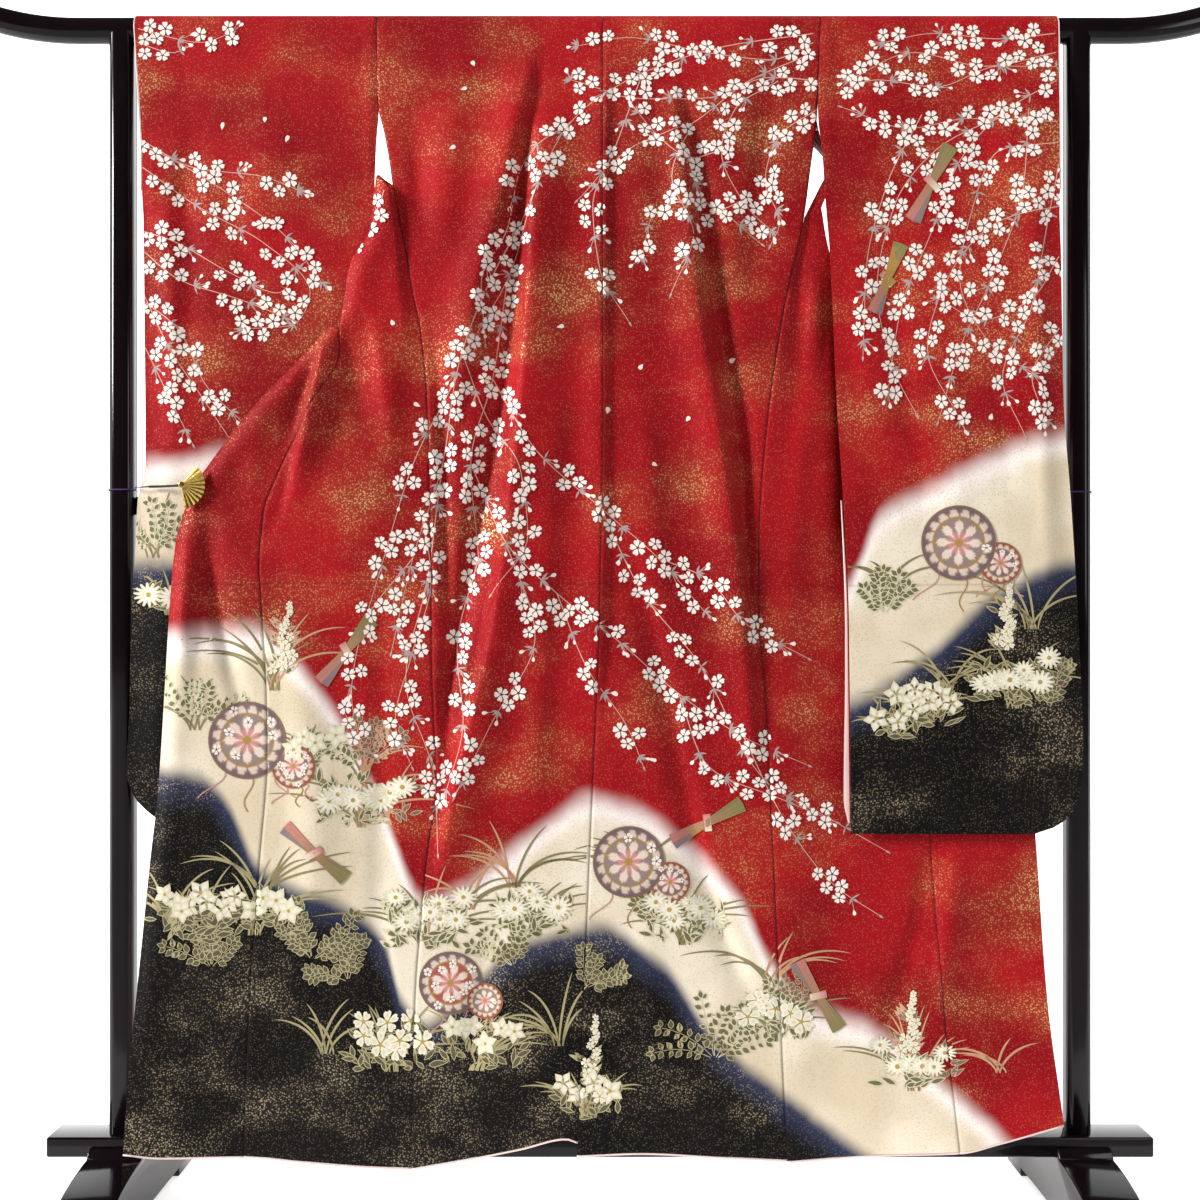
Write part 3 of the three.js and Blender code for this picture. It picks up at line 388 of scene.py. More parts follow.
BACK_TUCK = [(-275, 1362), (-120, 1372), (0, 1382), (110, 1388), (200, 1380), (280, 1366)]  # a faint pressed line
BACK_LEFT_EDGE = [(1692, -315), (1557, -310), (1529, -303), (1487, -295), (1437, -288), (1360, -272), (1304, -262),
                  (1247, -250), (1150, -241), (1010, -237), (899, -235), (787, -234), (676, -230), (606, -228),
                  (523, -239), (453, -246), (314, -257), (80, -263)]
CENTRE_SEAM = [(1692, 4), (1150, 4), (871, 0), (523, -14), (98, -32)]
BACK_RIGHT_EDGE = [(1692, 311), (1556, 305), (1474, 295), (1407, 286), (1278, 258), (1123, 235), (969, 223),
                   (871, 221), (731, 231), (522, 242), (312, 251), (88, 261)]
HEM_BACK_LEFT = [(0, 80), (0.42, 97), (0.66, 108), (0.93, 122), (1, 117)]
HEM_BACK_RIGHT = [(0, 98), (0.3, 101), (0.68, 95), (1, 90)]

def back_depth(x, z):
    left, right, centre = flowing(BACK_LEFT_EDGE, z), flowing(BACK_RIGHT_EDGE, z), flowing(CENTRE_SEAM, z)
    share = np.where(x < centre, (centre - x) / (centre - left), (x - centre) / (right - centre))
    middle = flowing(table_of(BACK_DEPTH, 2), z)
    side = np.where(x < centre, flowing(table_of(BACK_DEPTH, 1), z), flowing(table_of(BACK_DEPTH, 3), z))
    share = np.clip(share, 0, 1)
    edge = smooth(0, 0.12, 1 - share)
    below = smooth(1680, 1610, z)
    tuck = smooth(-2.5, 2.5, z - flowing(BACK_TUCK, x)) * smooth(0.96, 0.7, share)
    folds = BACK_LIFT * fold_heights(BACK_FOLDS, x, z)
    return middle + (side - middle) * share - edge * below * folds - tuck * below

def shares(width, step, seams=(True, True)):
    """Places across a panel, 0 to 1: even steps, and closer ones beside a sewn edge."""
    near = [1.2 / width, 2.6 / width, 4.5 / width]
    even = list(np.linspace(0, 1, max(3, int(width / step)) + 1))
    places = set(even)
    if seams[0]:
        places |= set(near)
    if seams[1]:
        places |= {1 - s for s in near}
    return np.array(sorted(places))

def arc_rows(left, right, across, side=1):
    """Rows over a quarter of the beam, from the shoulder fold on, between two x ends."""
    rows = []
    for k in range(ARC_ROWS):
        angle = max(SPLIT, k / ARC_ROWS * math.pi / 2)
        x = left + (right - left) * across
        rows.append(np.stack([x, np.full(len(x), side * OVER * math.sin(angle)),
                              np.full(len(x), TOP + OVER * math.cos(angle))], 1))
    return rows

def hanging_layer(side, edges, foot, depth, across, count):
    """Rows of middle points, mm: edges(z) gives both x ends, foot(u) the lowest z, depth(x, z, u) the y."""
    rows = arc_rows(*edges(np.full(len(across), float(TOP))), across, side)
    for k in range(count + 1):
        z = TOP + k / count * (foot(across) - TOP)
        a, b = edges(z)
        x = a + (b - a) * across
        rows.append(np.stack([x, depth(x, z, across), z], 1))
    return np.array(rows)

def tuck_edges(grid, ends=(True, True), deep=1.3):
    """Sewn edges turn in a little, so that each seam reads as a fine groove."""
    grid = grid.copy()
    for column, wanted in ((0, ends[0]), (-1, ends[1])):
        if wanted:
            gap = np.linalg.norm(grid - grid[:, column][:, None], axis=2)
            grid[:, :, 1] += deep * np.exp(-(gap / GROOVE) ** 2)
    return grid

def seam_shade(grid, ends):
    """Painted shade in each seam's groove: how dark each point is, 1 in its bottom, 0 from about 3 mm away."""
    shade = np.zeros(grid.shape[:2])
    for column, wanted in ((0, ends[0]), (-1, ends[1])):
        gap = np.linalg.norm(grid - grid[:, column][:, None], axis=2)
        shade += np.asarray(wanted, float).reshape(-1, 1) * np.exp(-(gap / 1.5) ** 2)
    return np.minimum(shade, 1)

def cloth_object(name, grid, inner, thick=CLOTH, toward=(-1, -1), shade=None):
    """A closed thin shell about a grid of middle points in mm: printed face outward, lining inside.
    toward is (row, sign): at that row the printed face looks to that sign of Y."""
    rows, cols = grid.shape[:2]
    down = np.gradient(grid, axis=0)
    along = np.gradient(grid, axis=1)
    normal = np.cross(along, down)
    normal /= np.maximum(np.linalg.norm(normal, axis=2, keepdims=True), 1e-9)
    if np.mean(normal[toward[0], :, 1]) * toward[1] < 0:
        normal = -normal
    outer_points = grid + normal * thick / 2
    inner_points = grid - normal * thick / 2
    points = np.concatenate([outer_points.reshape(-1, 3), inner_points.reshape(-1, 3)]) * MM
    size = rows * cols
    i, j = np.meshgrid(np.arange(rows - 1), np.arange(cols - 1), indexing="ij")
    a = (i * cols + j).ravel()
    quads = np.stack([a, a + cols, a + cols + 1, a + 1], 1)
    other = quads[:, ::-1] + size
    rim = []
    for k in range(cols - 1):
        rim.append((k + 1, k, k + size, k + 1 + size))
        low = (rows - 1) * cols + k
        rim.append((low, low + 1, low + 1 + size, low + size))
    for k in range(rows - 1):
        rim.append((k * cols, (k + 1) * cols, (k + 1) * cols + size, k * cols + size))
        end = k * cols + cols - 1
        rim.append((end + cols, end, end + size, end + cols + size))
    rim = np.array(rim)
    # the faces of the outer skin run so that their own normals point along +normal
    p = points[quads[0]]
    facing = np.dot(np.cross(p[1] - p[0], p[2] - p[0]), normal.reshape(-1, 3)[quads[0][0]])
    if facing < 0:
        quads, other, rim = quads[:, ::-1], other[:, ::-1], rim[:, ::-1]
    faces = np.concatenate([quads, other, rim])
    mesh = bpy.data.meshes.new(name)
    mesh.from_pydata(points.tolist(), [], faces.tolist())
    mesh.materials.append(SILK)
    mesh.materials.append(inner)
    slots = np.zeros(len(faces), np.int32)
    slots[len(quads):len(quads) + len(other)] = 1
    mesh.polygons.foreach_set("material_index", slots)
    mesh.polygons.foreach_set("use_smooth", np.ones(len(faces), bool))
    mesh.update()
    mesh.set_sharp_from_angle(angle=math.radians(50))
    if shade is not None:
        layer = mesh.attributes.new("seam_shade", "FLOAT", "POINT")
        layer.data.foreach_set("value", np.concatenate([shade.ravel(), shade.ravel()]).astype(np.float32))
    obj = bpy.data.objects.new(name, mesh)
    bpy.context.scene.collection.objects.link(obj)
    return obj

def dye_zones(obj, zones):
    """Stores how far each point lies above the red zone's edge and above the black zone's edge, in mm."""
    count = len(obj.data.vertices)
    places = np.empty(count * 3)
    obj.data.vertices.foreach_get("co", places)
    x, z = places[0::3] * 1000, places[2::3] * 1000
    for name, line in zip(("above_red_edge", "above_black_edge"), zones):
        layer = obj.data.attributes.new(name, "FLOAT", "POINT")
        layer.data.foreach_set("value", (z - flowing(line, x)).astype(np.float32))

def silk_relief(tree, where):
    """Crepe grain about 0.6 mm, and slack ripples 30 to 60 mm long, as a normal."""
    grain = node(tree, "ShaderNodeTexNoise", {"Scale": 1500.0, "Detail": 2.0}, Vector=where).outputs["Fac"]
    fine = node(tree, "ShaderNodeBump", {"Strength": 0.25, "Distance": 0.0002}, Height=grain)
    stretch = node(tree, "ShaderNodeMapping", {"Scale": (1.0, 1.0, 0.35)}, Vector=where)
    slack = node(tree, "ShaderNodeTexNoise", {"Scale": 22.0, "Detail": 2.0}, Vector=stretch.outputs["Vector"])
    return node(tree, "ShaderNodeBump", {"Strength": 0.55, "Distance": 0.0035}, Height=slack.outputs["Fac"],
                Normal=fine.outputs["Normal"]).outputs["Normal"]

def silk_material():
    material, tree, surface = finish_material("printed_silk")
    where = node(tree, "ShaderNodeTexCoord").outputs["Object"]
    def math_node(kind, a, b=0.0, clamp=False):
        return node(tree, "ShaderNodeMath", {"operation": kind, "use_clamp": clamp}, i0=a, i1=b).outputs["Value"]
    def mix(a, b, share):
        made = node(tree, "ShaderNodeMix", {"data_type": "RGBA"})
        for socket, value in ((made.inputs[0], share), (made.inputs[6], a), (made.inputs[7], b)):
            if isinstance(value, bpy.types.NodeSocket):
                tree.links.new(value, socket)
            else:
                socket.default_value = value
        return made.outputs[2]
    def noise(scale, detail=2.0, place=where):
        return node(tree, "ShaderNodeTexNoise", {"Scale": scale, "Detail": detail, "Roughness": 0.5},
                    Vector=place).outputs["Fac"]
    def ranged(value, a, b, to_a=0.0, to_b=1.0):
        return node(tree, "ShaderNodeMapRange", {"interpolation_type": "SMOOTHSTEP", "From Min": a, "From Max": b,
                                                 "To Min": to_a, "To Max": to_b}, Value=value).outputs["Result"]
    red_edge = node(tree, "ShaderNodeAttribute", {"attribute_name": "above_red_edge"}).outputs["Fac"]
    black_edge = node(tree, "ShaderNodeAttribute", {"attribute_name": "above_black_edge"}).outputs["Fac"]
    wander = math_node("MULTIPLY", math_node("SUBTRACT", noise(14.0, 3.0), 0.5), 26.0)
    red_edge = math_node("ADD", red_edge, wander)
    black_edge = math_node("ADD", black_edge, wander)
    # red ground: vermilion where the dye is thin, deeper in broad soft clouds
    broad = noise(5.0, 3.0)
    red = mix(linear("880510"), linear("A80E18"), ranged(broad, 0.35, 0.68))
    cream = mix(linear("DAC9AC"), linear("EEE2CC"), ranged(noise(7.0), 0.35, 0.65))
    black = mix(linear("040303"), linear("0D0A0A"), ranged(noise(6.0), 0.35, 0.7))
    blush = mix(cream, linear("FFF4EE"), ranged(red_edge, -46.0, -4.0))
    in_red = ranged(red_edge, -20.0, 24.0)
    ground = mix(blush, red, in_red)
    dusk = mix(black, linear("333A57"), math_node("MULTIPLY", ranged(black_edge, -64.0, -6.0), 0.8))
    in_black = ranged(black_edge, 15.0, -19.0)
    ground = mix(ground, dusk, in_black)
    # gold dust: specks about 1 mm across, thick in drifting clouds and nearly absent between them
    specks = node(tree, "ShaderNodeTexVoronoi", {"Scale": 350.0, "Randomness": 1.0}, Vector=where)
    drift = node(tree, "ShaderNodeMapping", {"Scale": (1.0, 1.0, 1.35)}, Vector=where).outputs["Vector"]
    cloud = ranged(noise(9.0, 3.0, drift), 0.43, 0.80)
    level = math_node("ADD", math_node("MULTIPLY", cloud, 0.14), 0.30)
    strength = node(tree, "ShaderNodeSeparateColor", Color=specks.outputs["Color"]).outputs["Red"]
    dust = ranged(math_node("SUBTRACT", specks.outputs["Distance"], level), 0.07, -0.07)
    dust = math_node("MULTIPLY", dust, ranged(strength, 0.0, 1.0, 0.25, 1.45), True)
    def by_zone(on_red, on_cream, on_black):
        light_part = math_node("ADD", math_node("MULTIPLY", in_red, on_red - on_cream), on_cream)
        return math_node("ADD", math_node("MULTIPLY", light_part, math_node("SUBTRACT", 1.0, in_black)),
                         math_node("MULTIPLY", in_black, on_black))
    haze = math_node("MULTIPLY", cloud, by_zone(0.20, 0.0, 0.13))
    ground = mix(ground, mix(linear("B87A48"), linear("6E665A"), in_black), haze)
    dust = math_node("MULTIPLY", dust, math_node("ADD", by_zone(0.42, 0.30, 0.15),
                                                 math_node("MULTIPLY", cloud, by_zone(0.40, 0.0, 0.75))))
    gold = mix(linear("CF6E5A"), linear("E6BE82"), cloud)
    speck = mix(mix(linear("A5957A"), gold, in_red), linear("BFAE8C"), in_black)
    coloured = mix(ground, speck, dust)
    # painted shade: each seam's groove is darkened towards its bottom
    sewn = node(tree, "ShaderNodeAttribute", {"attribute_name": "seam_shade"}).outputs["Fac"]
    coloured = mix(coloured, linear("1C0A08"), math_node("MULTIPLY", sewn, 0.52))
    # painted shade: the cross crease where the garment is folded in its wrapper, 893 mm up on this rack, is a thin
    # darker line with no relief of its own
    up = node(tree, "ShaderNodeSeparateXYZ", Vector=where).outputs["Z"]
    bend = math_node("MULTIPLY", math_node("SUBTRACT", noise(3.0), 0.5), 0.016)
    away = math_node("ABSOLUTE", math_node("ADD", math_node("SUBTRACT", up, 0.893), bend))
    coloured = mix(coloured, linear("2A0C0A"), ranged(away, 0.0026, 0.0, 0.0, 0.22))
    tree.links.new(coloured, surface.inputs["Base Color"])
    tree.links.new(math_node("MULTIPLY", dust, 0.55), surface.inputs["Metallic"])
    tree.links.new(ranged(dust, 0.0, 1.0, 0.62, 0.38), surface.inputs["Roughness"])
    surface.inputs["Sheen Weight"].default_value = 0.015
    surface.inputs["Sheen Roughness"].default_value = 0.5
    surface.inputs["Specular IOR Level"].default_value = 0.11
    tree.links.new(silk_relief(tree, where), surface.inputs["Normal"])
    return material

def lining_material():
    material, tree, surface = finish_material("silk_lining")
    where = node(tree, "ShaderNodeTexCoord").outputs["Object"]
    cloud = node(tree, "ShaderNodeTexNoise", {"Scale": 12.0, "Detail": 3.0}, Vector=where)
    tint = node(tree, "ShaderNodeValToRGB", Fac=cloud.outputs["Fac"])
    tint.color_ramp.elements[0].color = linear("E2BFBA")
    tint.color_ramp.elements[1].color = linear("F1DCD6")
    # painted shade: the part that passes through the slit lies in the shadow of the gap, so its lining is darkened to a
    # dark brown-red
    inside = node(tree, "ShaderNodeAttribute", {"attribute_name": "in_slit"}).outputs["Fac"]
    slit_shaded = node(tree, "ShaderNodeMix", {"data_type": "RGBA"})
    tree.links.new(inside, slit_shaded.inputs[0])
    tree.links.new(tint.outputs["Color"], slit_shaded.inputs[6])
    slit_shaded.inputs[7].default_value = linear("4A1214")
    tree.links.new(slit_shaded.outputs[2], surface.inputs["Base Color"])
    weave = node(tree, "ShaderNodeTexNoise", {"Scale": 900.0, "Detail": 2.0}, Vector=where)
    bump = node(tree, "ShaderNodeBump", {"Strength": 0.2, "Distance": 0.0002}, Height=weave.outputs["Fac"])
    tree.links.new(bump.outputs["Normal"], surface.inputs["Normal"])
    surface.inputs["Roughness"].default_value = 0.5
    surface.inputs["Sheen Weight"].default_value = 0.2
    return material

SILK = silk_material()
LINING = lining_material()

# where the red ends and where the black begins, across the body from left to right
BODY_RED = [(-670, 800), (-600, 818), (-540, 822), (-470, 826), (-436, 800), (-376, 722), (-313, 604), (-243, 452),
            (-190, 470), (-111, 530), (-14, 590), (56, 572), (125, 520), (195, 450), (236, 366), (278, 308),
            (389, 266), (487, 184), (570, 112), (680, 20)]
BODY_BLACK = [(-670, 620), (-612, 632), (-556, 628), (-522, 592), (-470, 500), (-362, 450), (-300, 392), (-276, 318),
              (-240, 280), (-190, 318), (-139, 376), (-56, 412), (0, 420), (84, 366), (167, 254), (264, 178),
              (375, 92), (450, 20), (680, -200)]
BODY_ZONES = (BODY_RED, BODY_BLACK)

def seam_allowance(panel, own, other, top):
    """The pressed seam allowance: a narrow strip just behind both panels' edges, from height top down.
    own and other are columns of middle points, from 4 mm inside the panel to 6 mm inside its neighbour."""
    heights = own[0][:, 2]
    wanted = heights < top
    heights = heights[wanted]
    columns = []
    for column in own + other:
        order = np.argsort(column[:, 2])
        tidy = column[order]
        x, y = (np.interp(heights, tidy[:, 2], tidy[:, k]) for k in (0, 1))
        columns.append(np.stack([x, y + 2.0, heights], 1))
    columns = np.stack(columns, 1)
    columns[:, :, 1] = columns[:, :, 1].max(axis=1, keepdims=True)
    strip = cloth_object("allowance", columns, LINING, thick=0.6)
    dye_zones(strip, BODY_ZONES)
    clear_choice()
    strip.select_set(True)
    panel.select_set(True)
    bpy.context.view_layer.objects.active = panel
    bpy.ops.object.join()

SHEETS = {}  # each cloth piece's cut, how it is held, and the small pieces on it

def declare_sheet(obj, flat, held, rests_on, *nodes):
    take_place(obj, "printed_silk", *nodes)
    SHEETS[obj.name] = dict(obj=obj, flat=flat, held=held, rests_on=rests_on, pieces=[])

def lies_on(sheet_name, obj, *nodes):
    """A piece of lining that belongs to a sheet."""
    take_place(obj, "silk_lining", *nodes)
    SHEETS[sheet_name]["pieces"].append(obj)

def back_panel(name, edge_a, edge_b, hem, cad):
    across = shares(300, 5.5)
    def edges(z):
        return flowing(edge_a, z) + 0.15, flowing(edge_b, z) - 0.15
    grid = hanging_layer(-1, edges, lambda u: flowing(hem, u), lambda x, z, u: back_depth(x, z), across, 165)
    grid[ARC_ROWS:] = tuck_edges(grid[ARC_ROWS:])
    obj = cloth_object(name, grid, LINING, shade=seam_shade(grid, (True, True)))
    dye_zones(obj, BODY_ZONES)
    declare_sheet(obj, (0.30, 1.61), "hung", ["beam"], cad)
    return obj, grid

back_left_silk, back_left_grid = back_panel("back_left_silk", BACK_LEFT_EDGE, CENTRE_SEAM, HEM_BACK_LEFT, "back_left")
back_right_silk, back_right_grid = back_panel("back_right_silk", CENTRE_SEAM, BACK_RIGHT_EDGE, HEM_BACK_RIGHT,
                                              "back_right")
hanging_left, hanging_right = back_left_grid[ARC_ROWS:], back_right_grid[ARC_ROWS:]
seam_allowance(back_left_silk, [hanging_left[:, -3], hanging_left[:, -1]], [hanging_right[:, 0], hanging_right[:, 3]],
               TOP - 5)

# =====================================================================================================
# Sleeves: each is one long cloth folded over the beam, sewn at the foot and up the cuff side to the cuff
# opening, and open along its inner edge. The near half shows the print.
# =====================================================================================================
# columns: height, left near, left far, right near, right far
SLEEVE_DEPTH = [(1680, -19.3, 19.3, -19.3, 19.3), (1600, -25, 9, -27, 8), (1500, -29, -8, -36, -17),
                (1400, -32, -17, -43, -31), (1200, -33, -20, -45, -32), (560, -33, -22, -48, -34),
                (530, -30, -25, -44, -38)]
# columns: height, outer edge, inner edge
SLEEVE_LEFT = [(1699, -656, -315.3), (1567, -646, -310.3), (1502, -642, -314), (1431, -641, -316), (1291, -639, -317),
               (1067, -637, -318), (1011, -648, -318), (927, -652, -318), (871, -656, -318), (703, -660, -318),
               (633, -664, -318), (600, -655, -318), (566, -623, -321), (545, -580, -330)]
SLEEVE_RIGHT = [(1699, 645, 311.3), (1550, 643, 305.3), (1500, 642, 310), (1428, 641, 314), (1351, 643, 320),
                (1149, 646, 329), (1010, 656, 338), (843, 666, 346), (801, 668, 346.5), (648, 673, 348),
                (592, 666, 348.5), (558, 640, 349), (545, 605, 349)]
SLEEVE_FOOT, CUFF_END, SEWN_ABOVE = 545, 1450, 1552
FAR_SHARE = 0.3  # how much of the near half's folds the far half shares
LEFT_SLEEVE_FOLDS = [([(-588, 1460), (-572, 1340), (-580, 1180)], 14, 20, -3),
                     ([(-600, 1490), (-606, 1350), (-600, 1200), (-596, 1080)], 12, 16, 3),
                     ([(-450, 1600), (-470, 1450), (-520, 1300)], 30, 30, 2),
                     ([(-560, 1560), (-590, 1420), (-596, 1300)], 16, 26, -4),
                     ([(-520, 1500), (-500, 1350), (-470, 1240)], 24, 20, -3),
                     ([(-330, 1480), (-345, 1400), (-365, 1330)], 18, 22, -3),
                     ([(-627, 1500), (-630, 1300), (-628, 1100)], 9, 14, 3),
                     ([(-325, 1760), (-322, 1440)], 5, 5, 1.8)]
RIGHT_SLEEVE_FOLDS = [([(400, 1380), (420, 1200), (445, 1050), (452, 960)], 20, 18, -4),
                      ([(352, 1420), (365, 1250), (380, 1080)], 14, 26, 3),
                      ([(470, 1300), (490, 1100), (500, 940)], 22, 26, 3),
                      ([(555, 1250), (562, 1130), (570, 1000)], 18, 18, -3),
                      ([(350, 1660), (380, 1560), (440, 1500)], 24, 24, 3),
                      ([(600, 1500), (612, 1300), (618, 1100), (625, 900)], 16, 20, 3.5),
                      ([(520, 1620), (540, 1480), (530, 1330)], 26, 22, -3.5),
                      ([(322, 1760), (317, 1440)], 5, 5, 1.8)]
SLEEVE_LEFT_ZONES = ([(-700, 1052), (-600, 1062), (-500, 1080), (-400, 1110), (-300, 1140)],
                     [(-700, 918), (-600, 925), (-500, 900), (-400, 860), (-300, 830)])
SLEEVE_RIGHT_ZONES = ([(300, 860), (341, 885), (389, 983), (459, 1025), (530, 1060), (600, 1090), (650, 1098),
                       (700, 1100)],
                      [(300, 700), (348, 728), (403, 757), (459, 800), (507, 843), (556, 882), (612, 910), (660, 925),
                       (700, 930)])

def sleeve(name, table, near_column, folds, zones, *nodes):
    across = shares(335, 6.0)
    def edges(z):
        return flowing(table_of(table, 1), z), flowing(table_of(table, 2), z)
    def depth_of(own):
        column = near_column if own else near_column + 1
        def depth(x, z, u):
            free = flowing(table_of(SLEEVE_DEPTH, column), z) - (1 if own else FAR_SHARE) * fold_heights(folds, x, z)
            near = flowing(table_of(SLEEVE_DEPTH, near_column), z)
            far = flowing(table_of(SLEEVE_DEPTH, near_column + 1), z)
            sewn = (near + far) / 2 + (-1 if own else 1) * 1.15
            down = (1 - smooth(0, 0.14, u)) * smooth(CUFF_END, CUFF_END - 50, z)
            joined = np.maximum(down, 1 - smooth(SLEEVE_FOOT, SLEEVE_FOOT + 60, z))
            return free + joined * (sewn - free)
        return depth
    foot = lambda u: np.full(len(u), float(SLEEVE_FOOT))
    near = hanging_layer(-1, edges, foot, depth_of(True), across, 130)
    sewn_on = near[:, -1, 2] > SEWN_ABOVE
    near[sewn_on] = tuck_edges(near[sewn_on], (False, True))
    def far_edges(z):
        outer, inner = edges(z)
        return outer, inner + np.sign(outer - inner) * 4.5 * smooth(TOP, 1640, z)
    far = hanging_layer(1, far_edges, foot, depth_of(False), across, 90)
    grid = np.concatenate([near[::-1], far[1:]])
    shade = seam_shade(grid, (False, grid[:, -1, 2] > SEWN_ABOVE))
    obj = cloth_object(name, grid, LINING, toward=(0, -1), shade=shade)
    dye_zones(obj, zones)
    declare_sheet(obj, (0.335, 2.31), "folded", ["beam"], *nodes)
    return near, far

left_near, left_far = sleeve("sleeve_left_silk", SLEEVE_LEFT, 1, LEFT_SLEEVE_FOLDS, SLEEVE_LEFT_ZONES,
                             "sleeve_left_back", "sleeve_left_front")
right_near, right_far = sleeve("sleeve_right_silk", SLEEVE_RIGHT, 3, RIGHT_SLEEVE_FOLDS, SLEEVE_RIGHT_ZONES,
                               "sleeve_right_back", "sleeve_right_front")

# =====================================================================================================
# Fronts: each front panel hangs from the beam's far side, is gathered through the slit under the sleeve
# and opens out like a fan beside the back, with its narrow overlap panel sewn along its front edge.
# =====================================================================================================
# columns: seam end x, y, z and front end x, y, z, for rows from the beam's far side to the slit
LEFT_NECK = [(-311, 19.3, 1680, -95, 19.3, 1680), (-309, 16, 1640, -118, 17, 1640), (-306, 11, 1590, -160, 13, 1592),
             (-300, 7, 1545, -210, 9, 1548), (-290, 2, 1500, -262, 0, 1496), (-287, -8, 1468, -281, -13, 1450),
             (-291, -20, 1440, -310, -31, 1466)]
RIGHT_NECK = [(305, 19.3, 1680, 95, 19.3, 1680), (305, 17, 1640, 125, 17, 1640), (306, 14, 1590, 190, 14, 1590),
              (311, 8, 1545, 262, 12, 1548), (319, 0, 1508, 312, 10, 1512), (320, -10, 1478, 329, -2, 1484),
              (307, -20, 1448, 325, -18, 1456)]
LEAF_LEFT_EDGE = [(-312, 1462), (-316, 1430), (-321, 1394), (-331, 1369), (-348, 1341), (-360, 1281), (-376, 1253),
                  (-417, 1209), (-459, 1166), (-501, 1118), (-547, 1056), (-570, 1022), (-580, 990), (-590, 954),
                  (-598, 871), (-605, 759), (-615, 606), (-626, 509), (-640, 370), (-656, 203), (-663, 101)]
LEAF_RIGHT_EDGE = [(311, 1422), (321, 1365), (352, 1300), (400, 1225), (460, 1150), (520, 1080), (575, 1024),
                   (584, 960), (590, 860), (598, 700), (611, 540), (626, 312), (648, 138)]
LEFT_FOLDS = [([(-378, 1262), (-388, 1200), (-408, 1110), (-430, 1010)], 8, 26, 8),
              ([(-396, 1215), (-420, 1140), (-448, 1050)], 14, 10, -5),
              ([(-470, 1120), (-480, 1060), (-478, 1000)], 16, 14, 3),
              ([(-540, 1010), (-500, 930), (-440, 895), (-350, 885)], 26, 26, 3),
              ([(-352, 1250), (-340, 1180), (-322, 1080)], 12, 14, -4),
              ([(-318, 1300), (-300, 1180), (-285, 1060)], 14, 22, 3),
              ([(-430, 1060), (-452, 985), (-476, 950)], 9, 9, -4),
              ([(-548, 1000), (-540, 900), (-520, 800), (-492, 690)], 12, 16, -6),
              ([(-572, 960), (-576, 860), (-580, 740)], 14, 14, 4),
              ([(-420, 850), (-400, 600), (-395, 400)], 30, 34, 3),
              ([(-300, 900), (-300, 700), (-300, 500), (-310, 300)], 22, 22, -4)]
RIGHT_FOLDS = [([(334, 1420), (346, 1250), (352, 1060), (354, 900)], 18, 30, -8),
               ([(305, 1430), (316, 1370), (322, 1300)], 10, 12, 4),
               ([(296, 1380), (300, 1300), (296, 1180)], 12, 14, 4),
               ([(300, 1200), (270, 1000), (262, 820)], 16, 20, 2),
               ([(470, 560), (448, 420), (410, 300), (390, 220)], 14, 20, -3.5),
               ([(500, 540), (486, 400), (470, 260)], 12, 24, 3)]
LEFT_LEAF = dict(start=1436, sign=-1, seam=BACK_LEFT_EDGE, seam_depth=1, edge=LEAF_LEFT_EDGE, folds=LEFT_FOLDS,
                 bottom=[(0, 81), (0.12, 83), (0.38, 91), (0.58, 98), (0.87, 96), (1, 101)],
                 depth=[(1440, -45), (1100, -46), (800, -47), (90, -46)], neck=LEFT_NECK,
                 okumi=[(0, 0.7), (0.3, 0.7), (0.55, 0.62), (1, 0.58)], roll=5.0)
RIGHT_LEAF = dict(start=1407, sign=1, seam=BACK_RIGHT_EDGE, seam_depth=3, edge=LEAF_RIGHT_EDGE, folds=RIGHT_FOLDS,
                  bottom=[(0, 88), (0.3, 96), (0.63, 100), (0.77, 113), (1, 138)],
                  depth=[(1440, -24), (1200, -23), (600, -25), (200, -34), (90, -36)], neck=RIGHT_NECK,
                  okumi=[(0, 0.7), (0.3, 0.68), (0.6, 0.6), (1, 0.625)], roll=0.0)
OKUMI_TOP = 0.12  # share of the way down where the overlap panel begins
RIDGE_LIFT, TROUGH_LIFT = 2.3, 1.5  # how much fuller the fronts' folds are than their tables

def flowing_path(points, count=400):
    """A smooth path through points of any dimension, evenly spaced along its length."""
    p = np.array(points, float)
    steps = np.linalg.norm(np.diff(p, axis=0), axis=1)
    t = np.concatenate([[0], np.cumsum(steps)])
    dense = np.linspace(0, t[-1], count)
    path = np.stack([flowing(list(zip(t, p[:, k])), dense) for k in range(p.shape[1])], 1)
    run = np.concatenate([[0], np.cumsum(np.linalg.norm(np.diff(path, axis=0), axis=1))])
    even = np.linspace(0, run[-1], count)
    return np.stack([np.interp(even, run, path[:, k]) for k in range(path.shape[1])], 1)

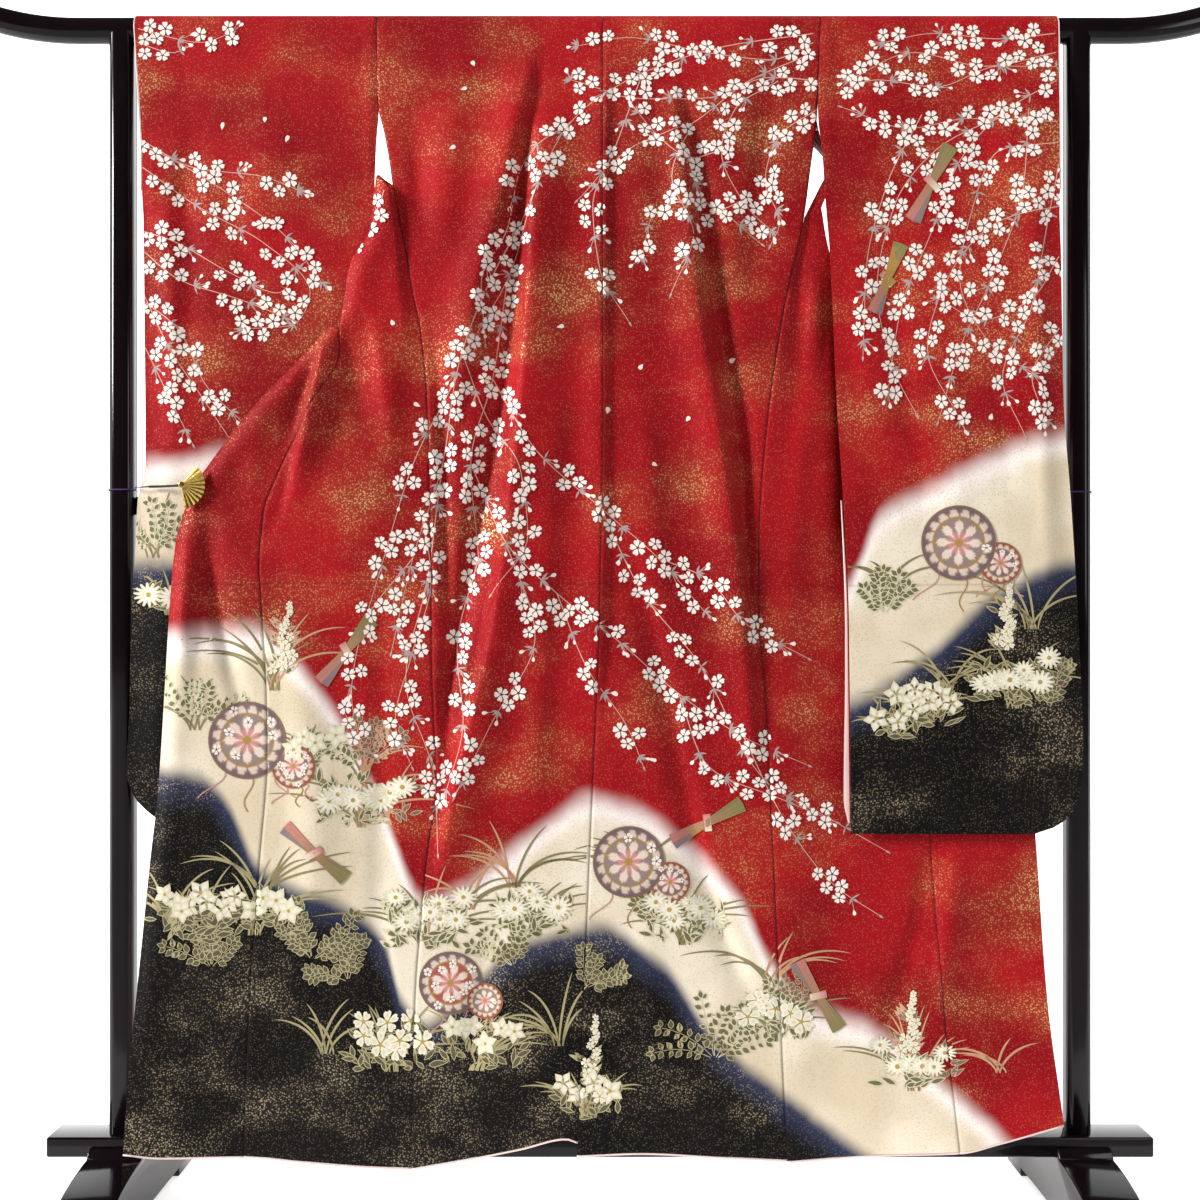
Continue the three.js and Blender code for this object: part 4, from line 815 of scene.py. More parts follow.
def leaf_points(leaf, down, across):
    """Middle points of the opened-out cloth: down is 0 at the slit and 1 at the hem, across is 0 at the side seam."""
    path = leaf.setdefault("path", flowing_path(leaf["edge"]))
    foot = flowing(leaf["bottom"], 0.0)
    sz = leaf["start"] + down * (foot - leaf["start"])
    sx = flowing(leaf["seam"], sz) + leaf["sign"] * 0.35
    at = np.linspace(0, 1, len(path))
    fx, fz = np.interp(down, at, path[:, 0]), np.interp(down, at, path[:, 1])
    straight = foot + across * (flowing(leaf["bottom"], 1.0) - foot)
    x = sx + across * (fx - sx)
    z = sz + across * (fz - sz) + down ** 6 * (flowing(leaf["bottom"], across) - straight)
    seam_y = flowing(table_of(BACK_DEPTH, leaf["seam_depth"]), sz)
    leaf_y = flowing(leaf["depth"], z)
    inward = smooth(0, 0.25, across)
    folds = fold_heights(leaf["folds"], x, z)
    folds = folds * np.where(folds > 0, RIDGE_LIFT, TROUGH_LIFT)
    y = seam_y + inward * (leaf_y - seam_y) - inward * smooth(0, 0.12, down) * folds
    from_edge = (1 - across) * np.hypot(fx - sx, fz - sz)
    rolled = np.exp(-(from_edge / 9) ** 2) - 0.45 * np.exp(-((from_edge - 24) / 14) ** 2)
    y = y + leaf["roll"] * rolled * smooth(1, 0.75, down)
    return np.stack([x, y, z], -1)

def okumi_share(leaf, down):
    return 1 + (flowing(leaf["okumi"], down) - 1) * smooth(OKUMI_TOP, 0.2, down)

def neck_rows(leaf, across, per=7):
    """Rows from the shoulder fold to the slit, with small gathers on the far side."""
    table = leaf["neck"]
    rows = arc_rows(table[0][0], table[0][3], across)
    for s in np.linspace(0, len(table) - 1, per * (len(table) - 1) + 1):
        row = [flowing([(k, r[c]) for k, r in enumerate(table)], s) for c in range(6)]
        gather = math.sin(math.pi * min(s / 5, 1)) ** 0.8 * 3.0
        swell = gather * np.sin(across * 3.5 * 2 * math.pi) * np.sin(math.pi * across)
        rows.append(np.stack([row[0] + across * (row[3] - row[0]), row[1] + across * (row[4] - row[1]) + swell,
                              row[2] + across * (row[5] - row[2])], 1))
    return rows

LEAF_ROWS = np.concatenate([np.linspace(0, 0.06, 10)[:-1], np.linspace(0.06, 1, 150)])  # closer near the slit

def front_panel(name, leaf, cad):
    across = shares(240, 5.5)
    rows = neck_rows(leaf, across)
    bridge = len(rows)
    okumi_head = leaf_points(leaf, np.array([OKUMI_TOP]), 0.7)[0, 2]
    for down in LEAF_ROWS:
        limit = okumi_share(leaf, down)
        row = leaf_points(leaf, np.full(len(across), down), limit * across)
        row[:, 0] -= leaf["sign"] * 0.15 * across
        rows.append(row)
    grid = np.array(rows)
    grid[bridge + 12:] = tuck_edges(grid[bridge + 12:])
    fanned = np.arange(len(grid)) >= bridge
    shade = seam_shade(grid, (fanned, fanned & (grid[:, 0, 2] < okumi_head)))
    obj = cloth_object(name, grid, LINING, shade=shade)
    # painted shade: the rows that pass through the slit are marked for the lining's darkened, shadowed colour
    inside = obj.data.attributes.new("in_slit", "FLOAT", "POINT")
    inside.data.foreach_set("value", np.tile(np.repeat(~fanned, grid.shape[1]), 2).astype(np.float32))
    dye_zones(obj, BODY_ZONES)
    declare_sheet(obj, (0.24, 1.63), "gathered", ["beam"], cad)
    return obj, grid

def okumi_panel(name, leaf, front, cad):
    across = shares(150, 5.5, (True, False))
    rows = []
    for down in LEAF_ROWS[LEAF_ROWS > 0.15]:
        limit = okumi_share(leaf, down)
        row = leaf_points(leaf, np.full(len(across), down), limit + (1 - limit) * across)
        row[:, 0] += leaf["sign"] * 0.15 * (1 - across)
        rows.append(row)
    grid = tuck_edges(np.array(rows), (True, False))
    obj = cloth_object(name, grid, LINING, shade=seam_shade(grid, (True, False)))
    dye_zones(obj, BODY_ZONES)
    declare_sheet(obj, (0.15, 1.25), "hung", [front], cad)
    return grid

front_left_silk, front_left_grid = front_panel("front_left_silk", LEFT_LEAF, "front_left")
okumi_left_grid = okumi_panel("okumi_left_silk", LEFT_LEAF, "front_left_silk", "okumi_left")
front_right_silk, front_right_grid = front_panel("front_right_silk", RIGHT_LEAF, "front_right")
okumi_right_grid = okumi_panel("okumi_right_silk", RIGHT_LEAF, "front_right_silk", "okumi_right")
fanned_left, fanned_right = front_left_grid[-len(LEAF_ROWS):], front_right_grid[-len(LEAF_ROWS):]

# columns: back, its two columns beside the side seam, front's opened-out rows, height of the slit's foot
for back, inner, edge, fanned, top in ((back_left_silk, hanging_left[:, 3], hanging_left[:, 0], fanned_left, 1438),
                                       (back_right_silk, hanging_right[:, -4], hanging_right[:, -1], fanned_right,
                                        1404)):
    seam_allowance(back, [inner, edge], [fanned[:, 0], fanned[:, 3]], top)
for front, fanned, grid in ((front_left_silk, fanned_left, okumi_left_grid),
                            (front_right_silk, fanned_right, okumi_right_grid)):
    seam_allowance(front, [fanned[:, -4], fanned[:, -1]], [grid[:, 0], grid[:, 3]], grid[0, 0, 2] - 4)

# =====================================================================================================
# Collar: a doubled silk band round the neck, lying over the beam's far side and down both gathers.
# =====================================================================================================
# columns: sewn edge x and way down from the shoulder fold, free edge x and way down
COLLAR_HALF = [(-262, 207, -238, 248), (-236, 184, -203, 223), (-210, 161, -168, 198), (-160, 117, -112, 148),
               (-118, 70, -68, 92), (-95, 31, -48, 58), (-95, 26, -46, 56), (-95, 21, -44, 55), (-95, 16, -42, 53),
               (-95, 11, -40, 52), (-95, 5.5, -38, 51), (-95, 0.4, -36, 50), (-60, 0.4, -26, 50), (-20, 0.4, -10, 50)]
COLLAR_OTHER = [(20, 0.4, 10, 50), (60, 0.4, 26, 50), (95, 0.4, 36, 50), (95, 5.5, 38, 51), (95, 11, 40, 52),
                (95, 16, 42, 53), (95, 21, 44, 55), (95, 26, 46, 56), (95, 31, 48, 58), (125, 70, 74, 94),
                (190, 120, 144, 152), (226, 141, 188, 182), (262, 162, 226, 204)]
# columns: height, left, right
FAR_DEPTH = [(1680, 19.3, 19.3), (1640, 17.2, 17.2), (1592, 13.2, 14.2), (1548, 9.5, 12.2), (1500, 1, 10),
             (1450, 3, 10)]

def make_collar():
    over, quarter = OVER + 0.8, OVER * math.pi / 2
    across = np.linspace(0, 1, 13)
    rows = []
    table = COLLAR_HALF + COLLAR_OTHER
    for s in np.linspace(0, len(table) - 1, 4 * (len(table) - 1) + 1):
        k = min(int(s), len(table) - 2)
        a, b = np.array(table[k], float), np.array(table[k + 1], float)
        q = a + (b - a) * (s - k)
        start = q[0] - np.sign(q[0]) * 3
        x = start + across * (q[2] - start)
        d = q[1] + across * (q[3] - q[1])
        angle = np.minimum(d / OVER, math.pi / 2)
        z = TOP + over * np.cos(angle) - np.maximum(0, d - quarter)
        far = flowing(table_of(FAR_DEPTH, 1 if q[0] < 0 else 2), z) + 0.8
        y = np.where(d < quarter, over * np.sin(angle), far)
        rows.append(np.stack([x, y, z], 1))
    obj = cloth_object("collar_silk", np.array(rows), SILK, thick=2.0, toward=(len(rows) // 2, 1))
    dye_zones(obj, ([(-400, 0), (400, 0)], [(-400, -500), (400, -500)]))
    declare_sheet(obj, (0.055, 0.80), "hung", ["beam"], "collar")

make_collar()

# =====================================================================================================
# Lining that shows: a thin roll of plain pink silk under each hem and along each cuff opening, and a
# narrow strip inside the right sleeve's inner edge.
# =====================================================================================================
def tube(name, route, radius, sides, material):
    """A closed round cord along a route in mm."""
    p = np.array(route, float)
    ahead = np.gradient(p, axis=0)
    ahead /= np.linalg.norm(ahead, axis=1, keepdims=True)
    up = np.array([0.0, 0.0, 1.0])
    side = np.cross(np.broadcast_to(up, ahead.shape), ahead)
    long = np.linalg.norm(side, axis=1, keepdims=True)
    side = np.where(long > 0.2, side / np.maximum(long, 1e-6), np.array([1.0, 0, 0]))
    lift = np.cross(ahead, side)
    turn = np.arange(sides) * 2 * math.pi / sides
    ring = p[:, None] + radius * (np.cos(turn)[None, :, None] * side[:, None]
                                  + np.sin(turn)[None, :, None] * lift[:, None])
    points = list(map(tuple, (ring.reshape(-1, 3) * MM)))
    faces = []
    for i in range(len(p) - 1):
        for k in range(sides):
            a, b = i * sides + k, i * sides + (k + 1) % sides
            faces.append((a, b, b + sides, a + sides))
    faces.append(tuple(range(sides - 1, -1, -1)))
    faces.append(tuple((len(p) - 1) * sides + k for k in range(sides)))
    mesh = bpy.data.meshes.new(name)
    mesh.from_pydata(points, [], faces)
    mesh.materials.append(material)
    mesh.polygons.foreach_set("use_smooth", np.ones(len(faces), bool))
    obj = bpy.data.objects.new(name, mesh)
    bpy.context.scene.collection.objects.link(obj)
    return obj

HEM_BELOW, HEM_RADIUS = 1.9, 1.45
CUFF_OUT, CUFF_RADIUS, CUFF_LOW = 1.4, 1.0, 1440

def hem_roll(panel, row):
    """The roll under one panel's lowest row of points, with every second point and the last."""
    route = row[::2] if len(row) % 2 else np.concatenate([row[::2], row[-1:]])
    obj = tube("hem_roll_" + panel + "_silk", route - np.array([0, 0, HEM_BELOW]), HEM_RADIUS, 8, LINING)
    lies_on(panel + "_silk", obj, "hem_roll_" + panel)

for panel, grid in (("back_left", back_left_grid), ("back_right", back_right_grid), ("front_left", front_left_grid),
                    ("okumi_left", okumi_left_grid), ("front_right", front_right_grid),
                    ("okumi_right", okumi_right_grid)):
    hem_roll(panel, grid[-1])

def cuff_roll(hand, near, far, sign):
    near, far = near[near[:, 0, 2] > CUFF_LOW, 0], far[far[:, 0, 2] > CUFF_LOW, 0]
    route = np.concatenate([far[::-1], near[1:]]) + np.array([sign * CUFF_OUT, 0, 0])
    obj = tube("cuff_roll_" + hand + "_silk", route, CUFF_RADIUS, 8, LINING)
    lies_on("sleeve_" + hand + "_silk", obj, "cuff_roll_" + hand)

cuff_roll("left", left_near, left_far, -1)
cuff_roll("right", right_near, right_far, 1)

# columns: height, how far the lining shows beyond the right sleeve's inner edge
FURI_WIDTH = [(1010, 1), (900, 2.5), (756, 4), (640, 7), (590, 7.7), (560, 2)]

def furi_strip():
    rows = []
    for z in np.linspace(560, 1010, 46):
        wide = flowing(FURI_WIDTH, z)
        edge = flowing(table_of(SLEEVE_RIGHT, 2), z) - 0.3
        y = flowing(table_of(SLEEVE_DEPTH, 4), z) - 2
        rows.append([(edge - wide, y + 0.6, z), (edge - wide * 0.5, y - 0.3, z), (edge, y, z)])
    obj = cloth_object("furi_lining_right_silk", np.array(rows, float), LINING, thick=1.0)
    obj.data.materials[0] = LINING
    lies_on("sleeve_right_silk", obj, "furi_lining_right")

furi_strip()

# =====================================================================================================
# Yuzen print: sprays of five-petalled blossom down the red, grasses and flowers on the hills, and a few
# thread balls and knotted paper strips. Hand-dyed and painted; here each shape lies just off its panel.
# =====================================================================================================
LIFT = 0.42  # mm from the cloth's face to the print
PETAL = linear("FBEAE0")
HEART, TWIG, BUD_LEAF = linear("452E30"), linear("DDA192"), linear("B29A96")
WHITE_FLOWER, FLOWER_SHADE, POLLEN = linear("F3ECD8"), linear("D9CFAE"), linear("B79B4B")
GRASS = {"red": linear("C79673"), "cream": linear("8B8058"), "black": linear("A89C72")}
LEAF_EDGE = {"red": linear("C9A183"), "cream": linear("D9CFAC"), "black": linear("B7AA80")}
LEAF_FILL = {"red": linear("7A6650"), "cream": linear("6C6947"), "black": linear("5C5740")}

def zone_at(x, z, zones=BODY_ZONES):
    if z > flowing(zones[0], x):
        return "red"
    return "cream" if z > flowing(zones[1], x) else "black"

def bearing(points):
    """Direction of travel at each point of a path, in radians."""
    step = np.gradient(points, axis=0)
    return np.arctan2(step[:, 1], step[:, 0])

def turned(points, angle, place):
    c, s = math.cos(angle), math.sin(angle)
    p = np.array(points, float)
    return np.stack([place[0] + p[:, 0] * c - p[:, 1] * s, place[1] + p[:, 0] * s + p[:, 1] * c], 1)

class Print:
    """Flat coloured shapes in mm, kept in the order they are laid."""
    def __init__(self, zones):
        self.zones, self.shapes, self.flowers, self.leaves, self.taken = zones, [], 0, 0, []

    def height(self, layer):
        """Stems lie lowest, then leaves, then flowers. Leaves and flowers take turns over sixteen and twelve heights
        each, so that neighbours overlap cleanly."""
        if layer < 1:
            return 0.0
        if layer < 2:
            return 0.03 + 0.01 * (self.leaves % 16) + 0.01 * (layer - 1)
        return 0.24 + 0.02 * (layer - 2) + 0.06 * (self.flowers % 12)

    def shape(self, outline, colours, layer=0):
        """A compact shape: a middle point and its outline, one colour or (middle, edge)."""
        outline = np.array(outline, float)
        middle = outline.mean(axis=0)
        pair = colours if isinstance(colours[0], tuple) else (colours, colours)
        points = np.vstack([middle, outline])
        n = len(outline)
        faces = [(0, 1 + k, 1 + (k + 1) % n) for k in range(n)]
        self.shapes.append((points, faces, [pair[0]] + [pair[1]] * n, self.height(layer), middle))

    def band(self, path, width, colour, layer=0, tip=None):
        """A strip along a path: width is one number or one for each point."""
        path = np.array(path, float)
        turn = bearing(path) + math.pi / 2
        half = np.broadcast_to(np.asarray(width, float), len(path)) / 2
        side = np.stack([np.cos(turn), np.sin(turn)], 1) * half[:, None]
        n = len(path)
        for a in range(0, n - 1, 4):
            b = min(a + 4, n - 1)
            points = np.vstack([path[a:b + 1] + side[a:b + 1], path[a:b + 1] - side[a:b + 1]])
            m = b - a + 1
            faces = [(k, k + m, k + m + 1, k + 1) for k in range(m - 1)]
            share = np.linspace(a, b, m) / (n - 1)
            row = [tuple((1 - t) * p + t * q for p, q in zip(colour, tip or colour)) for t in share]
            self.shapes.append((points, faces, row * 2, self.height(layer), path[a:b + 1].mean(axis=0)))

    def petal(self, place, angle, long, wide, colours, layer, notch=0.12):
        half = [(0, 0.06), (0.25, 0.55), (0.55, 0.96), (0.8, 0.9), (0.97, 0.45)]
        outline = [(t * long, w * wide / 2) for t, w in half] + [((1 - notch) * long, 0)]
        outline += [(t * long, -w * wide / 2) for t, w in half[::-1]]
        self.shape(turned(outline, angle, place), colours, layer)

    def blossom(self, place, size, spin, draw, colours=None, heart=None):
        """Five notched petals round a dark star; some are seen half from the side."""
        self.flowers += 1
        colours = colours or PETAL
        lean, tilt = draw.uniform(0.72, 1.0), draw.uniform(0, math.pi)
        def leaned(points):
            p = np.array(points, float) - place
            c, s = math.cos(tilt), math.sin(tilt)
            along, across = p[:, 0] * c + p[:, 1] * s, (-p[:, 0] * s + p[:, 1] * c) * lean
            return np.stack([place[0] + along * c - across * s, place[1] + along * s + across * c], 1)
        half = [(0.12, 0.06), (0.32, 0.5), (0.6, 0.92), (0.82, 0.98), (0.99, 0.5)]
        wide = size * 0.70
        for k in range(5):
            outline = [(t * size, w * wide / 2) for t, w in half] + [(0.88 * size, 0)]
            outline += [(t * size, -w * wide / 2) for t, w in half[::-1]]
            self.shape(leaned(turned(outline, spin + k * math.tau / 5, place)), colours, 2)
        star = []
        for k in range(10):
            r = size * (0.60 if k % 2 else 0.13)
            a = spin + math.pi / 5 + (k - 1) * math.pi / 5
            star.append((place[0] + r * math.cos(a), place[1] + r * math.sin(a)))
        self.shape(leaned(star), heart or HEART, 3)

    def bud(self, place, angle, size):
        self.petal(place, angle, size, size * 0.66, PETAL, 1, 0.0)

    def leaf(self, place, angle, long, wide, colour, layer=1):
        self.leaves += layer == 1
        outline = [(0, 0), (0.25, 0.42), (0.5, 0.5), (0.8, 0.25), (1, 0), (0.8, -0.25), (0.5, -0.5), (0.25, -0.42)]
        self.shape(turned([(t * long, w * wide) for t, w in outline], angle, place), colour, layer)

    def sprig(self, place, angle, draw):
        """A tuft of small grey-mauve leaves, sometimes with two or three buds."""
        leaves = draw.choice((3, 4, 4, 5))
        for k in range(leaves):
            self.leaf(place, angle + (k / (leaves - 1) - 0.5) * 2.4 + draw.uniform(-0.2, 0.2), draw.uniform(9, 14),
                      draw.uniform(2.4, 3.6), BUD_LEAF)
        for k in range(draw.choice((1, 2, 3, 3))):
            turn = angle + draw.uniform(-0.9, 0.9)
            reach = draw.uniform(9, 17)
            off = turned([(reach, 0)], turn, place)[0]
            self.band([place, (place + off) / 2, off], 0.8, TWIG, 0)
            self.bud(off, turn, draw.uniform(6.5, 9))

    def spray(self, stem, seed, full=1.0, size=11.2):
        """A long thin stem with clusters of blossom, leaf tufts between them, and a bare tip."""
        draw = random.Random(seed)
        length = np.linalg.norm(np.diff(np.array(stem, float), axis=0), axis=1).sum()
        path = flowing_path(stem, max(12, int(length / 7)))
        self.band(path, np.linspace(1.5, 0.9, len(path)), TWIG, 0)
        way = bearing(path)
        step = length / (len(path) - 1)
        at = draw.uniform(5, 30)
        while at < length * 0.95:
            n = draw.choice((3, 4, 4, 5, 6)) if draw.random() < full else draw.choice((1, 1, 2))
            side = draw.choice((-1, 1))
            for k in range(n):
                i = min(int((at + k * size * draw.uniform(0.85, 1.15)) / step), len(path) - 1)
                side = -side
                across = np.array([-math.sin(way[i]), math.cos(way[i])])
                place = path[i] + side * draw.uniform(0.45, 1.1) * size * across
                if all(np.hypot(*(place - other)) > size * 1.5 for other in self.taken):
                    self.taken.append(place)
                    self.blossom(place, size * draw.uniform(0.86, 1.06), draw.uniform(0, math.tau), draw)
            at += n * size
            i = min(int(at / step), len(path) - 1)
            self.sprig(path[i], way[i] + draw.uniform(-0.5, 0.5), draw)
            at += draw.uniform(20, 62) / max(full, 0.4)
        self.leaf(path[-1], way[-1], 9, 3, BUD_LEAF)

    def loose_petals(self, places, seed):
        draw = random.Random(seed)
        for place in places:
            self.petal(np.array(place, float), draw.uniform(0, math.tau), draw.uniform(8, 11), draw.uniform(5.5, 7.5),
                       PETAL, 1, 0.06)

    def grass(self, root, seed, blades, tall):
        """Long arching blades from one root, thin at both ends."""
        draw = random.Random(seed)
        for k in range(blades):
            lean = draw.choice((-1, 1)) * draw.uniform(0.15, 1)
            high = tall * draw.uniform(0.6, 1.05) * (1 - 0.2 * abs(lean))
            reach = lean * tall * draw.uniform(0.7, 1.15)
            t = np.linspace(0, 1, 21)
            x = root[0] + draw.uniform(-10, 10) + reach * t ** 1.6
            z = root[1] + high * (t - draw.uniform(0.35, 0.75) * t ** 2.8 * abs(lean))
            colour = GRASS[zone_at(x[11], z[11], self.zones)]
            self.band(np.stack([x, z], 1), 3.0 * np.abs(np.sin(math.pi * (0.08 + 0.92 * t))) ** 0.6 + 0.3, colour, 0)

    def round_leaves(self, root, seed, stems, tall):
        """Bush clover: curved stems set with pairs of small round leaves, paler at the rim."""
        draw = random.Random(seed)
        for k in range(stems):
            a = math.pi / 2 + draw.uniform(-1.15, 1.15)
            bend = draw.uniform(-0.7, 0.7)
            long = tall * draw.uniform(0.6, 1)
            t = np.linspace(0, 1, 13)
            angle = a + bend * t
            path = np.array(root) + np.cumsum(np.stack([np.cos(angle), np.sin(angle)], 1), axis=0) * long / 13
            self.band(path, 0.9, LEAF_EDGE[zone_at(*path[6], self.zones)], 0)
            for i in range(2, 13, 2):
                for side in (-1, 1, 0) if i == 12 else (-1, 1):
                    size = draw.uniform(10.5, 14.5)
                    zone = zone_at(*path[i], self.zones)
                    turn = angle[i] + side * draw.uniform(0.8, 1.2)
                    place = path[i] + 1.5 * np.array([math.cos(turn), math.sin(turn)])
                    self.leaf(place, turn, size, size * 0.66, LEAF_EDGE[zone], 1)
                    inner = place + 1.3 * np.array([math.cos(turn), math.sin(turn)])
                    self.leaf(inner, turn, size - 2.6, (size - 2.6) * 0.6, LEAF_FILL[zone], 1.5)

    def star_flower(self, place, size, seed):
        """A bellflower: five pointed petals, pale, with a small gold middle."""
        self.flowers += 1
        draw = random.Random(seed)
        spin = draw.uniform(0, math.tau)
        for k in range(5):
            a = spin + k * math.tau / 5
            outline = [(0, -0.1), (0.35, -0.36), (0.62, -0.27), (1, 0), (0.62, 0.27), (0.35, 0.36), (0, 0.1)]
            self.shape(turned([(t * size, w * size) for t, w in outline], a, place), (WHITE_FLOWER, FLOWER_SHADE), 3)
        self.disc(place, size * 0.13, POLLEN, 4)

    def many_petals(self, place, size, seed):
        """A small chrysanthemum seen a little from the side."""
        self.flowers += 1
        draw = random.Random(seed)
        spin, flat = draw.uniform(0, math.tau), draw.uniform(0.6, 0.9)
        for ring, count, edge, layer in ((1.0, 14, FLOWER_SHADE, 3), (0.62, 10, WHITE_FLOWER, 4)):
            for k in range(count):
                a = spin + k * math.tau / count + ring
                outline = [(0.15, -0.05), (0.6, -0.13), (0.95, -0.08), (1, 0), (0.95, 0.08), (0.6, 0.13), (0.15, 0.05)]
                p = turned([(t * size * ring, w * size) for t, w in outline], a, (0, 0))
                p[:, 1] *= flat
                self.shape(p + np.array(place), (WHITE_FLOWER, edge), layer)
        self.disc(place, size * 0.16, POLLEN, 5)

    def disc(self, place, size, colour, layer):
        a = np.linspace(0, math.tau, 11)[:-1]
        self.shape(np.stack([place[0] + size * np.cos(a), place[1] + size * np.sin(a)], 1), colour, layer)

    def clump(self, root, seed, kind, flowers, tall=90):
        """Grass, dark narrow leaves and a bunch of pale flowers."""
        draw = random.Random(seed)
        self.grass(root, seed + 1, 6 + flowers // 2, tall * 1.5)
        for k in range(flowers * 8):
            a = math.pi / 2 + draw.uniform(-1.6, 1.6)
            place = np.array(root) + np.array([draw.uniform(-0.62, 0.62), draw.uniform(0.0, 0.62)]) * tall
            zone = zone_at(*place, self.zones)
            long, wide = draw.uniform(17, 27), draw.uniform(6.5, 9.5)
            self.leaf(place, a, long, wide, LEAF_EDGE[zone], 1)
            self.leaf(place + 1.7 * np.array([math.cos(a), math.sin(a)]), a, long - 4, wide - 2.6, LEAF_FILL[zone], 1.5)
        for k in range(flowers):
            share = k / max(1, flowers - 1) - 0.5
            place = np.array(root) + np.array([share * tall * 0.95 + draw.uniform(-8, 8),
                                               tall * (0.35 + 0.45 * draw.random())])
            if kind == "star":
                self.star_flower(place, draw.uniform(16, 21), seed * 31 + k)
            elif kind == "many":
                self.many_petals(place, draw.uniform(16, 23), seed * 37 + k)
            else:
                self.blossom(place, draw.uniform(16, 20), draw.uniform(0, 6), draw,
                             (FLOWER_SHADE, WHITE_FLOWER), POLLEN)

    def spike(self, root, seed, tall):
        """An upright spike of small pale flowers, wide low down and pointed."""
        draw = random.Random(seed)
        for k in range(18):
            place = np.array(root) + np.array([draw.uniform(-6, 6), draw.uniform(0, tall * 0.75)])
            turn = math.pi / 2 + draw.choice((-1, 1)) * draw.uniform(0.45, 1.2)
            zone = zone_at(*place, self.zones)
            self.leaf(place, turn, draw.uniform(18, 27), 7.5, LEAF_EDGE[zone], 1)
            self.leaf(place + 1.6 * np.array([math.cos(turn), math.sin(turn)]), turn, 16, 5, LEAF_FILL[zone], 1.5)
        for k in range(15):
            t = k / 14
            place = np.array(root) + np.array([draw.uniform(-1, 1) * 15 * (1 - t) + 9 * t, 10 + tall * t])
            self.blossom(place, draw.uniform(8.5, 11) * (1 - 0.5 * t), draw.uniform(0, 6), draw,
                         (FLOWER_SHADE, WHITE_FLOWER), POLLEN)

    def thread_ball(self, place, size, seed, ground, second):
        """A silk thread ball: wound ground, an eight-petalled star, a gold ring and a border of small arcs."""
        draw = random.Random(seed)
        self.flowers += 1
        spin = draw.uniform(0, 1)
        gold, pale, pink = linear("A98443"), linear("E3CFC2"), linear("C98D88")
        rings, spokes = 22, 96
        def colour(r, a):
            if r > 0.955 or 0.665 < r < 0.705:
                return gold
            if r > 0.705:
                arc = abs(math.sin(a * 8)) * 0.2 + 0.73
                return (pale if r < arc - 0.035 else gold) if r < arc else ground
            reach = 0.64 * abs(math.cos(a * 4)) ** 0.45
            inner = 0.42 * abs(math.cos(a * 4 + math.pi / 2)) ** 0.6
            if r < 0.1:
                return gold
            if r < reach:
                return gold if r > reach - 0.045 else (pink if r < inner else pale)
            return second
        points = [(place[0], place[1])]
        tints = [gold]
        for r in range(1, rings + 1):
            for a in range(spokes):
                turn = a * math.tau / spokes
                out = size * r / rings
                points.append((place[0] + out * math.cos(spin + turn), place[1] + out * math.sin(spin + turn)))
                shine = 1.12 - 0.35 * (r / rings) ** 2
                tints.append(tuple(c * shine for c in colour(r / rings, turn)[:3]) + (1.0,))
        for r in range(rings):
            for a in range(spokes):
                b = (a + 1) % spokes
                inner, outer = 1 + (r - 1) * spokes, 1 + r * spokes
                index = [0, 1 + a, 1 + b] if r == 0 else [inner + a, outer + a, outer + b, inner + b]
                corners = np.array([points[i] for i in index])
                self.shapes.append((corners, [tuple(range(len(index)))], [tints[i] for i in index], self.height(2),
                                    corners.mean(axis=0)))
        for k in range(9):
            a = k * math.tau / 9 + draw.uniform(-0.2, 0.2)
            self.blossom(np.array(place) + size * draw.uniform(0.45, 0.85) * np.array([math.cos(a), math.sin(a)]),
                         size * 0.15, a, draw)
        for k in range(3):
            t = np.linspace(0, 1, 16)
            a = -math.pi / 2 + 0.5 * (k - 1) + draw.uniform(-0.2, 0.2)
            path = np.stack([place[0] + math.cos(a) * size * (0.95 + 1.0 * t) + 7 * np.sin(5 * t + k),
                             place[1] + math.sin(a) * size * (0.95 + 0.9 * t)], 1)
            self.band(path, 1.6, pink if k != 1 else gold, 1)

    def paper_knot(self, place, angle, long):
        """Two folded paper strips crossed at a small flat knot: pink and mauve shading to green, edged in gold."""
        self.flowers += 1
        pink, green, mauve, gold = linear("C8797B"), linear("7C7D4E"), linear("8A7486"), linear("A98443")
        def strip(turn, wide, first, layer, tip):
            ahead = np.array([math.cos(turn), math.sin(turn)])
            t = np.linspace(-0.5, 0.5, 25)[:, None]
            path = np.array(place) + ahead * long * t
            taper = wide * (0.72 + 0.28 * np.abs(2 * t[:, 0]))
            self.band(path, taper + 1.8, gold, layer)
            self.band(path, taper, first, layer + 1, tip)
            self.band(path, 0.9, gold, layer + 2)
        strip(angle + 0.09, 11, mauve, 3, green)
        strip(angle - 0.09, 11, pink, 6, green)
        a = angle + 1.2
        cross = np.array(place) + np.array([math.cos(a), math.sin(a)]) * 24 * np.linspace(-0.5, 0.5, 9)[:, None]
        self.band(cross, 11, gold, 9)
        self.band(cross, 9.2, linear("E2D3B8"), 10, pink)

